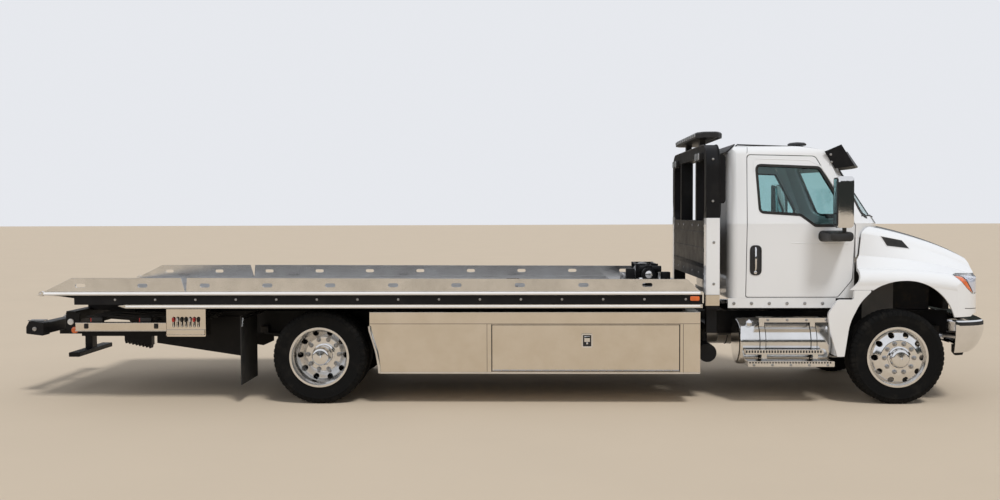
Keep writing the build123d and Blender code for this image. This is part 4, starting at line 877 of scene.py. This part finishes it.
def deck_surface():
    """Extruded ribs along the deck floor, the tail's tread strips and the tie-down pockets."""
    ribs = Piece("deck_ribs")
    for y in row(-1.20, 0.08, 31):
        ribs.box((-2.62, y - 0.004, 1.1145), (3.025, y + 0.004, 1.1185), 0.001)
    ribs.done("deck", "steel")
    tread = Piece("tail_tread")
    for strip, x in enumerate(row(-2.755, 0.045, 3)):
        rise = strip * 0.0058
        for y in row(-1.15, 0.1, 24):
            tread.box((x - 0.006, y - 0.03, 1.097 + rise), (x + 0.006, y + 0.03, 1.104 + rise), 0.001)
    tread.done("deck", "steel")
    pockets = Piece("deck_pockets")
    for x in (-2.30, -0.90, 0.50, 1.90):
        for y in (0.42, 0.86):
            outline = oblong(x - 0.07, y - 0.035, x + 0.07, y + 0.035, 0.034, 6)
            pockets.band(outline, 0.010, lambda a, b, height: (a, b, 1.1155 + height), 0.005)
            pockets.prism(grown(outline, -0.006), 1.1150, 1.1162, "XY")
    pockets.done("deck", "black_paint", "both")


# Headboard and light bar

WORK_LAMPS_Y = (0.72, 0.88)
# Name, slot and heights of the plates on the posts. Each post has one polished cover split by height, and the
# white paint on the upper plate is a painted reflection of the sky.
POST_PLATES = (("covers", "white_paint", 1.082, 1.840), ("feet", "stainless", 0.974, 1.080))


def headboard_trim():
    """Edging, cover plates, bolts and ribs of the headboard, and the lamps on it and on the light bar."""
    arch = oblong(-1.15, 1.845, 1.15, 2.57, 0.22, 8)
    edging = Piece("headboard_edging")
    for x, line in ((3.838, arch[1:-1]), (3.965, arch[8:-8])):
        edging.tube([(x, y, z) for y, z in line if z > 1.9], 0.006, 8)
    edging.done("chassis", "black_paint")
    for name, slot, low, high in POST_PLATES:
        covers = Piece(f"post_{name}")
        covers.prism(oblong(3.834, low, 3.969, high), 1.149, 1.156, bevel=0.002)
        covers.prism(oblong(3.831, low, 3.837, high), 1.05, 1.156, bevel=0.001)
        covers.done("chassis", slot, "both")
    bolts = Piece("headboard_bolts")
    for z in (1.19, 1.60):
        bolts.bolt((3.91, 1.156, z), 0.010, 0.006)
    for z in (2.006, 2.418):
        bolts.bolt((3.90, 1.150, z), 0.009, 0.006)
    for y in (0.30, 0.70, 1.02):
        for z in (1.28, 1.76):
            bolts.bolt((3.836, y, z), 0.009, 0.006, BACKWARD)
    bolts.done("chassis", "steel", "both")
    ribs = [collar(3.829, 3.837, z - 0.02, z + 0.02) for z in (1.36, 1.52, 1.68)]
    plates("headboard_ribs", ribs, -1.02, 1.02, bevel=0.002).done("chassis", "black_paint")
    cases = [oblong(y - 0.055, 2.415, y + 0.055, 2.495, 0.015) for y in WORK_LAMPS_Y]
    plates("work_lamps", cases, 3.800, 3.838, "YZ", 0.003).done("chassis", "plastic", "both")
    fronts = [oblong(y - 0.047, 2.422, y + 0.047, 2.488, 0.012) for y in WORK_LAMPS_Y]
    plates("work_lamp_lenses", fronts, 3.794, 3.801, "YZ", 0.002).done("chassis", "lens", "both", CLEAR)
    lenses = Piece("light_bar_lenses")
    for y in row(-0.63, 0.14, 10):
        for low, high in ((3.796, 3.803), (4.067, 4.073)):
            lenses.prism(oblong(y - 0.055, 2.672, y + 0.055, 2.700), low, high, "YZ", 0.002)
    lenses.done("chassis", "lens", look=CLEAR)


# Toolboxes

LATCH_OUTLINE = oblong(2.612, 0.575, 2.708, 0.700, 0.012)
BOX_REAR_CURVE = [
    (0.512, 0.780), (0.518, 0.735), (0.537, 0.675), (0.560, 0.600),
    (0.583, 0.520), (0.597, 0.440), (0.606, 0.370), (0.611, 0.313),
]


def toolbox_trim():
    """Seams and mouldings of the side boxes, and the latches and hinges of their doors."""
    seams = Piece("toolbox_seams").box((0.515, 1.2195, 0.801), (3.768, 1.2215, 0.805), 0.0005)
    for low, high in ((1.716, 1.720), (3.570, 3.574), (1.672, 1.676), (3.602, 3.606)):
        seams.box((low, 1.2195, 0.325), (high, 1.2215, 0.800), 0.0005)
    seams.done("chassis", "rubber", "both")
    edges = Piece("toolbox_mouldings")
    edges.tube([(x - 0.004, 1.216, z) for x, z in BOX_REAR_CURVE], 0.018, 12)
    edges.prism(oblong(0.512, 0.912, 3.770, 0.919), 1.215, 1.228, bevel=0.002)
    edges.prism(oblong(0.612, 0.309, 3.770, 0.322), 1.215, 1.226, bevel=0.002)
    edges.done("chassis", "polished", "both")
    for name, side in SIDES:
        body = f"toolbox_door_{name}"
        well = Piece(f"toolbox_latch_well_{name}").prism(grown(LATCH_OUTLINE, -0.004), 1.2250, 1.2295)
        well.done(body, "rubber", side)
        latch = Piece(f"toolbox_latch_{name}")
        latch.band(LATCH_OUTLINE, 0.014, lambda x, z, height: (x, 1.2285 + height, z), 0.004)
        latch.prism(oblong(2.632, 0.625, 2.688, 0.682), 1.226, 1.236, bevel=0.003)
        latch.lathe(stud(0.010, 0.008, 0.006, 0.010), (2.66, 1.227, 0.611), steps=20)
        latch.done(body, "chrome", side)
        hinge = Piece(f"toolbox_hinge_{name}")
        knuckle = [(0.0065, 0), (0.0075, 0.002), (0.0075, 0.070), (0.0065, 0.072)]
        for x in row(1.742, 0.0795, 23):
            hinge.lathe(knuckle, (x, 1.22, 0.342), FORWARD, 12)
        hinge.done(body, "steel", side)


# Winch

DRUM_X = 3.36
DRUM_Z = 1.24
ROPE_TURNS = 24
ROPE_STEPS = 20
ROPE_CIRCLE = 0.083
ROPE_RADIUS = 0.0078
ROPE_HALF_SPAN = 0.185
FLANGE_PROFILE = [
    (0.1055, 0), (0.1055, 0.013), (0.098, 0.016), (0.080, 0.014), (0.080, -0.002), (0.098, -0.004),
]
CASE_PROFILE = [
    (0, 0.392), (0.050, 0.392), (0.060, 0.405), (0.082, 0.405),
    (0.088, 0.395), (0.088, 0.245), (0.082, 0.237), (0, 0.237),
]
MOTOR_PROFILE = [
    (0, -0.425), (0.062, -0.425), (0.072, -0.412), (0.072, -0.330), (0.066, -0.325),
    (0.066, -0.300), (0.072, -0.295), (0.072, -0.237), (0, -0.237),
]


def winch_trim():
    """Rope on the drum, and the gear case, motor, brake, clutch, roller guide and bolts round it."""
    path = []
    for step in range(ROPE_TURNS * ROPE_STEPS + 1):
        angle = 2 * math.pi * step / ROPE_STEPS
        y = -ROPE_HALF_SPAN + 2 * ROPE_HALF_SPAN * step / (ROPE_TURNS * ROPE_STEPS)
        path.append((DRUM_X + ROPE_CIRCLE * math.sin(angle), y, DRUM_Z + ROPE_CIRCLE * math.cos(angle)))
    Piece("winch_rope").tube(path, ROPE_RADIUS, 6).done("winch_drum", "steel", smooth=80)
    flanges = Piece("drum_flanges")
    for y in (-0.206, 0.194):
        flanges.ring(FLANGE_PROFILE, (DRUM_X, y, DRUM_Z), steps=48)
        for a, b in circle(0.092, 6):
            rivet = [(0, -0.006), (0.007, -0.006), (0.007, 0.019), (0, 0.019)]
            flanges.lathe(rivet, (DRUM_X + a, y, DRUM_Z + b), steps=6)
    flanges.done("winch_drum", "steel")
    case = Piece("winch_case").lathe(CASE_PROFILE, (DRUM_X, 0, DRUM_Z), steps=48)
    for a, b in circle(0.072, 10):
        case.bolt((DRUM_X + a, 0.405, DRUM_Z + b), 0.007, 0.006)
    case.done("deck", "steel")
    motor = Piece("winch_motor").lathe(MOTOR_PROFILE, (DRUM_X, 0, DRUM_Z), steps=40)
    motor.box((3.325, -0.40, 1.30), (3.395, -0.30, 1.338), 0.006)
    for y in (-0.375, -0.325):
        motor.lathe(stud(0.013, 0.018, 0.010, 0.022), (DRUM_X, y, 1.334), UPWARD, 6)
    for y_low, y_high in ((-0.245, -0.232), (0.232, 0.245)):
        motor.box((3.262, y_low, 1.14), (3.458, y_high, 1.335), 0.004)
    for x in (3.26, 3.46):
        motor.tube([(x, -0.215, 1.335), (x, 0.215, 1.335)], 0.011, 12)
    motor.done("deck", "black_paint")
    brake = Piece("winch_brake").tube([(3.275, -0.290, 1.292), (3.505, -0.290, 1.292)], 0.034, 20)
    brake.box((3.500, -0.335, 1.150), (3.600, -0.262, 1.262), 0.010)
    brake.box((3.128, -0.330, 1.150), (3.222, -0.262, 1.300), 0.010)
    brake.done("deck", "black_paint")
    clutch = Piece("winch_clutch")
    clutch.lathe(stud(0.040, 0.020, 0.030, 0.026), (DRUM_X, -0.425, DRUM_Z), INWARD, 32)
    clutch.box((3.262, -0.385, 1.136), (3.330, -0.300, 1.205), 0.006)
    clutch.box((3.425, -0.370, 1.136), (3.490, -0.262, 1.180), 0.006)
    clutch.tube([(3.470, -0.345, 1.170), (3.470, -0.360, 1.215), (3.470, -0.375, 1.258)], 0.008, 10)
    clutch.done("deck", "polished")
    guide = Piece("roller_guide")
    for y in (-0.215, 0.203):
        guide.box((3.110, y, 1.135), (3.170, y + 0.012, 1.232), 0.003)
    for z in (1.158, 1.205):
        guide.tube([(3.140, -0.203, z), (3.140, 0.203, z)], 0.016, 20)
    guide.done("deck", "steel")
    places = [(x, y, 1.135) for x in (3.13, 3.36, 3.59) for y in (-0.235, 0.235)]
    bolted("winch_bolts", "deck", places, 0.012, 0.010, side=0, outward=UPWARD)


# Fuel tanks and steps

TANK_Y = 0.817
TANK_Z = 0.587
TANK_STRAPS = (4.420, 4.925)
CAP_PROFILE = [(0, -0.01), (0.040, -0.01), (0.040, 0.006), (0.030, 0.014), (0.012, 0.016), (0, 0.024)]
# First x and count of a step's holes, its face's y, and the holes' low and high ends
STEP_HOLES = ((4.240, 27, 1.140, 0.505, 0.529), (4.262, 29, 1.200, 0.409, 0.424))
HOLE_PITCH = 0.028
# First x, pitch and count of a row of bolts, its y and its z
STEP_BOLTS = ((4.45, 0.19, 4, 1.12, 0.828), (4.30, 0.18, 5, 1.20, 0.392))


def tank_and_steps():
    """Fuel caps, edges of the tanks' straps, dark patches of painted shade for the steps' punched holes, and
    the steps' bolts.
    """
    cap = Piece("fuel_caps").lathe(CAP_PROFILE, (4.297, 0.969, 0.804), (0, 0.57, 0.82), 28)
    cap.done("chassis", "chrome", "both")
    edges = Piece("strap_edges")
    for x in TANK_STRAPS:
        for edge in (x - 0.029, x + 0.029):
            edges.ring(collar(0.234, 0.2395, -0.003, 0.003), (edge, TANK_Y, TANK_Z), FORWARD, 64)
    edges.done("chassis", "rubber", "both")
    # Dark patches on the steps' faces: painted shade standing for the punched holes.
    hole_shade = Piece("step_hole_shade")
    for first, count, y, low, high in STEP_HOLES:
        for x in row(first, HOLE_PITCH, count):
            hole_shade.prism(oblong(x - 0.008, low, x + 0.008, high), y - 0.003, y + 0.001)
    hole_shade.done("chassis", "rubber", "both")
    places = [(x, y, z) for first, pitch, count, y, z in STEP_BOLTS for x in row(first, pitch, count)]
    bolted("step_bolts", "chassis", places, 0.010, 0.006)


# Rear: hoses, controls, lamps and the wheel lift's fittings


def hoses():
    """Hydraulic hoses along the rails behind the trays, and the two bars that hold them."""
    lines = Piece("rear_hoses")
    for index, y in enumerate(row(0.50, 0.07, 7)):
        drop = 0.012 * (index % 3)
        path = (
            (-2.46, y - 0.02, 0.842), (-2.25, y, 0.856), (-2.00, y + 0.01, 0.838),
            (-1.75, y, 0.852), (-1.55, y - 0.02, 0.846), (-1.20, y * 0.9, 0.840),
        )
        lines.tube([(x, across, z - drop) for x, across, z in path], 0.014, 10)
    for x in (-2.30, -1.72):
        lines.box((x - 0.015, 0.46, 0.800), (x + 0.015, 0.95, 0.828), 0.003)
    lines.done("chassis", "rubber", "both")


LEVER_KNOBS = ("red", "white", "black", "black", "white", "red", "black")
LEVER_X = row(-1.505, 0.042, len(LEVER_KNOBS))
KNOB_PROFILE = [(0.004, 0), (0.011, 0.004), (0.013, 0.020), (0.012, 0.040), (0.006, 0.047), (0, 0.047)]
TRAY_LAMPS_X = (-2.30, -1.80)


def controls():
    """Lever panels on both sides, and the trays, lamps and flap hangers behind them."""
    slots = [oblong(x - 0.013, 0.752, x + 0.013, 0.858, 0.012) for x in LEVER_X]
    plates("lever_wells", slots, 1.048, 1.052).done("chassis", "rubber", "both")
    frames = Piece("lever_frames")
    frames.prism(oblong(-1.575, 0.680, -1.185, 0.728), 1.045, 1.070, bevel=0.003)
    frames.prism(oblong(-1.575, 0.675, -1.185, 0.681), 0.97, 1.085, bevel=0.001)
    frames.done("chassis", "stainless", "both")
    # The red knobs take the red lamp-lens look, so they carry its faint emission: a painted glow, as the
    # knobs are no lamps.
    for colour, look in (("red", RED), ("white", LOOKS["white_paint"]), ("black", LOOKS["plastic"])):
        knobs = Piece(f"lever_knobs_{colour}")
        for x, knob in zip(LEVER_X, LEVER_KNOBS):
            if knob == colour:
                knobs.lathe(KNOB_PROFILE, (x, 1.066, 0.806), (0, 0.16, 1), 14)
        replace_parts(knobs.done("chassis", "plastic", "both", look), "control_levers")
    stems = Piece("lever_stems")
    for x in LEVER_X:
        stems.tube([(x, 1.050, 0.765), (x, 1.062, 0.785), (x, 1.066, 0.812)], 0.0045, 8)
        stems.lathe([(0, 0), (0.010, 0), (0.007, 0.006), (0, 0.006)], (x, 1.051, 0.763), steps=12)
    stems.done("chassis", "chrome", "both")
    lips = [oblong(-2.512, z, -1.582, z + 0.008) for z in (0.790, 0.712)]
    plates("tray_lips", lips, 1.040, 1.062, bevel=0.002).done("chassis", "polished", "both")
    clips = Piece("tray_clips")
    for x in (-2.400, -1.684):
        clips.prism(oblong(x - 0.020, 0.738, x + 0.020, 0.790, 0.008), 1.046, 1.064, bevel=0.003)
        clips.bolt((x, 1.064, 0.764), 0.008, 0.005)
    clips.done("chassis", "rubber", "both")
    lamps = Piece("tray_lamps")
    for x in TRAY_LAMPS_X:
        lamps.box((x - 0.06, 0.975, 0.796), (x + 0.06, 1.035, 0.850), 0.012)
    lamps.done("chassis", "plastic", "both")
    lenses = Piece("tray_lamp_lenses")
    for x in TRAY_LAMPS_X:
        lenses.box((x - 0.068, 0.982, 0.803), (x - 0.059, 1.028, 0.843), 0.003)
    lenses.done("chassis", "lens", "both", RED)
    ends = Piece("tail_reflectors")
    ends.lathe(stud(0.032, 0.008, 0.026, 0.011, 0.012), (-2.655, 0.840, 0.785), steps=32)
    ends.done("subframe", "polished", "both", LOOKS["white_paint"])
    turn = Piece("tail_turn_lamps")
    turn.lathe(stud(0.034, 0.016, 0.024, 0.022, 0.024), (-2.610, 0.840, 0.700), steps=28)
    turn.done("subframe", "lens", "both", AMBER)
    hanger = Piece("flap_hangers")
    bent = [(1.190, 0.775), (1.190, 0.850), (0.640, 0.850), (0.560, 0.868)]
    hanger.tube([(-0.765, y, z) for y, z in bent], 0.0125, 10).done("chassis", "polished", "both")


def lift_trim():
    """Pins of the wheel lift, and the end fittings of its crossbar."""
    pins = Piece("lift_pins")
    for y, axis in ((0.125, OUTWARD), (-0.125, INWARD)):
        pins.lathe(stud(0.030, 0.012, 0.018, 0.016), (-2.05, y, 0.62), axis, 24)
    pins.done("subframe", "steel")
    swivel = Piece("swivel_pin")
    cap = [(0, 0), (0.042, 0), (0.042, 0.010), (0.026, 0.014), (0.026, 0.024), (0, 0.026)]
    swivel.lathe(cap, (-3.08, 0, 0.752), UPWARD, 32).done("lift_crossbar", "steel")
    ends = Piece("crossbar_ends")
    for y in (0.645, 0.715):
        ends.tube([(-3.165, y, 0.778), (-3.165, y, 0.786), (-2.995, y, 0.786), (-2.995, y, 0.778)], 0.006, 8)
    ends.lathe([(0, 0), (0.022, 0), (0.022, 0.008), (0, 0.010)], (-3.08, 0.75, 0.70), steps=20)
    ends.done("lift_crossbar", "steel", "both")


# Camera: the photograph's place, turn and lens
CAMERA_PLACE = Vector((REAR_AXLE_X + 2.0825, -11.2579, 1.8968))
CAMERA_YAW = 0.0276
CAMERA_PITCH = 0.0363
CAMERA_ROLL = -0.0034
CAMERA_LENS = 36.76
CAMERA_FAR = 400


def photo_camera():
    """Camera that sees the truck as the photograph does."""
    forward = Vector((
        -math.sin(CAMERA_YAW) * math.cos(CAMERA_PITCH),
        math.cos(CAMERA_YAW) * math.cos(CAMERA_PITCH),
        -math.sin(CAMERA_PITCH),
    ))
    level = Vector((math.cos(CAMERA_YAW), math.sin(CAMERA_YAW), 0))
    upward = level.cross(forward)
    right = level * math.cos(CAMERA_ROLL) + upward * math.sin(CAMERA_ROLL)
    up = upward * math.cos(CAMERA_ROLL) - level * math.sin(CAMERA_ROLL)
    data = bpy.data.cameras.new("photo_camera")
    data.lens = CAMERA_LENS
    data.clip_end = CAMERA_FAR
    camera = bpy.data.objects.new("photo_camera", data)
    bpy.context.scene.collection.objects.link(camera)
    turned = Matrix((right, up, -forward)).transposed().to_4x4()
    camera.matrix_world = Matrix.Translation(CAMERA_PLACE) @ turned
    bpy.context.scene.camera = camera


# Ground and sky. Mirrors see a dark uneven skyline that stays out of the camera's sight.
FLOOR_HALF = 150
HORIZON_COLOUR = (0.92, 0.92, 0.91, 1)
ZENITH_COLOUR = (0.76, 0.80, 0.88, 1)
BRIGHT_SKY = (1.42, 1.45, 1.52, 1)
SKYLINE_COLOUR = (0.05, 0.055, 0.05, 1)
SKYLINE_HEIGHT = 0.30
SKYLINE_SOFTNESS = 0.03
SKY_STRENGTH = 0.56
# Name, direction the light travels, strength and softness in degrees
LAMPS = (
    ("key", (-0.30, 0.50, -0.9), 1.9, 12),
    ("fill", (0.6, 0.5, -0.5), 0.3, 40),
)


def floor():
    """Plain ground for the truck to stand on."""
    size = FLOOR_HALF
    mesh = bpy.data.meshes.new("floor")
    corners = [(-size, -size, 0), (size, -size, 0), (size, size, 0), (-size, size, 0)]
    mesh.from_pydata(corners, [], [(0, 1, 2, 3)])
    ground = bpy.data.objects.new("floor", mesh)
    bpy.context.scene.collection.objects.link(ground)
    look = Look("floor", FLOOR_COLOUR, 0.85)
    look.tint(look.noise(0.6, 6), FLOOR_COLOUR, tuple(0.93 * part for part in FLOOR_COLOUR))
    mesh.materials.append(look.material)


def sky():
    """Overcast sky, brighter in direct sight and in reflections than as a light."""
    world = bpy.data.worlds.new("sky")
    bpy.context.scene.world = world
    world.use_nodes = True
    tree = world.node_tree

    def new(kind, **inputs):
        return feed(tree, tree.nodes.new(kind), inputs)

    direction = new("ShaderNodeTexCoord").outputs["Generated"]
    height = new("ShaderNodeSeparateXYZ", Vector=direction).outputs["Z"]
    ramp = new("ShaderNodeValToRGB", Fac=height)
    first, last = ramp.color_ramp.elements
    first.position, first.color = 0.0, HORIZON_COLOUR
    last.position, last.color = 0.7, ZENITH_COLOUR

    noise = new("ShaderNodeTexNoise", Vector=direction, Scale=3.0, Detail=4.0).outputs["Fac"]
    above = calculated(tree, "MULTIPLY_ADD", noise, -SKYLINE_HEIGHT, height)
    limits = {"Value": above, "From Min": 0.0, "From Max": -SKYLINE_SOFTNESS}
    dark = feed(tree, tree.nodes.new("ShaderNodeMapRange"), limits).outputs["Result"]
    rays = new("ShaderNodeLightPath").outputs
    glossy = calculated(tree, "MULTIPLY", dark, rays["Is Glossy Ray"])
    mirrored = calculated(tree, "MULTIPLY", glossy, rays["Is Reflection Ray"])
    direct = calculated(tree, "MAXIMUM", rays["Is Camera Ray"], rays["Is Glossy Ray"])
    seen = new("ShaderNodeMixRGB", Fac=direct, Color1=ramp.outputs["Color"], Color2=BRIGHT_SKY)
    mix = new("ShaderNodeMixRGB", Fac=mirrored, Color1=seen.outputs["Color"], Color2=SKYLINE_COLOUR)
    feed(tree, tree.nodes["Background"], {"Color": mix.outputs["Color"], "Strength": SKY_STRENGTH})


def light():
    """A high soft sun and a weak fill, which no surface mirrors."""
    for name, heading, strength, softness in LAMPS:
        lamp = bpy.data.lights.new(name, "SUN")
        lamp.energy = strength
        lamp.angle = math.radians(softness)
        lamp_object = bpy.data.objects.new(name, lamp)
        lamp_object.rotation_euler = Vector(heading).to_track_quat("-Z", "Y").to_euler()
        lamp_object.visible_glossy = False
        bpy.context.scene.collection.objects.link(lamp_object)
    bpy.context.scene.view_settings.view_transform = "Standard"


tyres()
wheel_nuts()
doors()
roof_trim()
screen_trim()
seats()
hood_trim()
deck_trim()
deck_surface()
headboard_trim()
toolbox_trim()
winch_trim()
tank_and_steps()
hoses()
controls()
lift_trim()
photo_camera()
floor()
sky()
light()
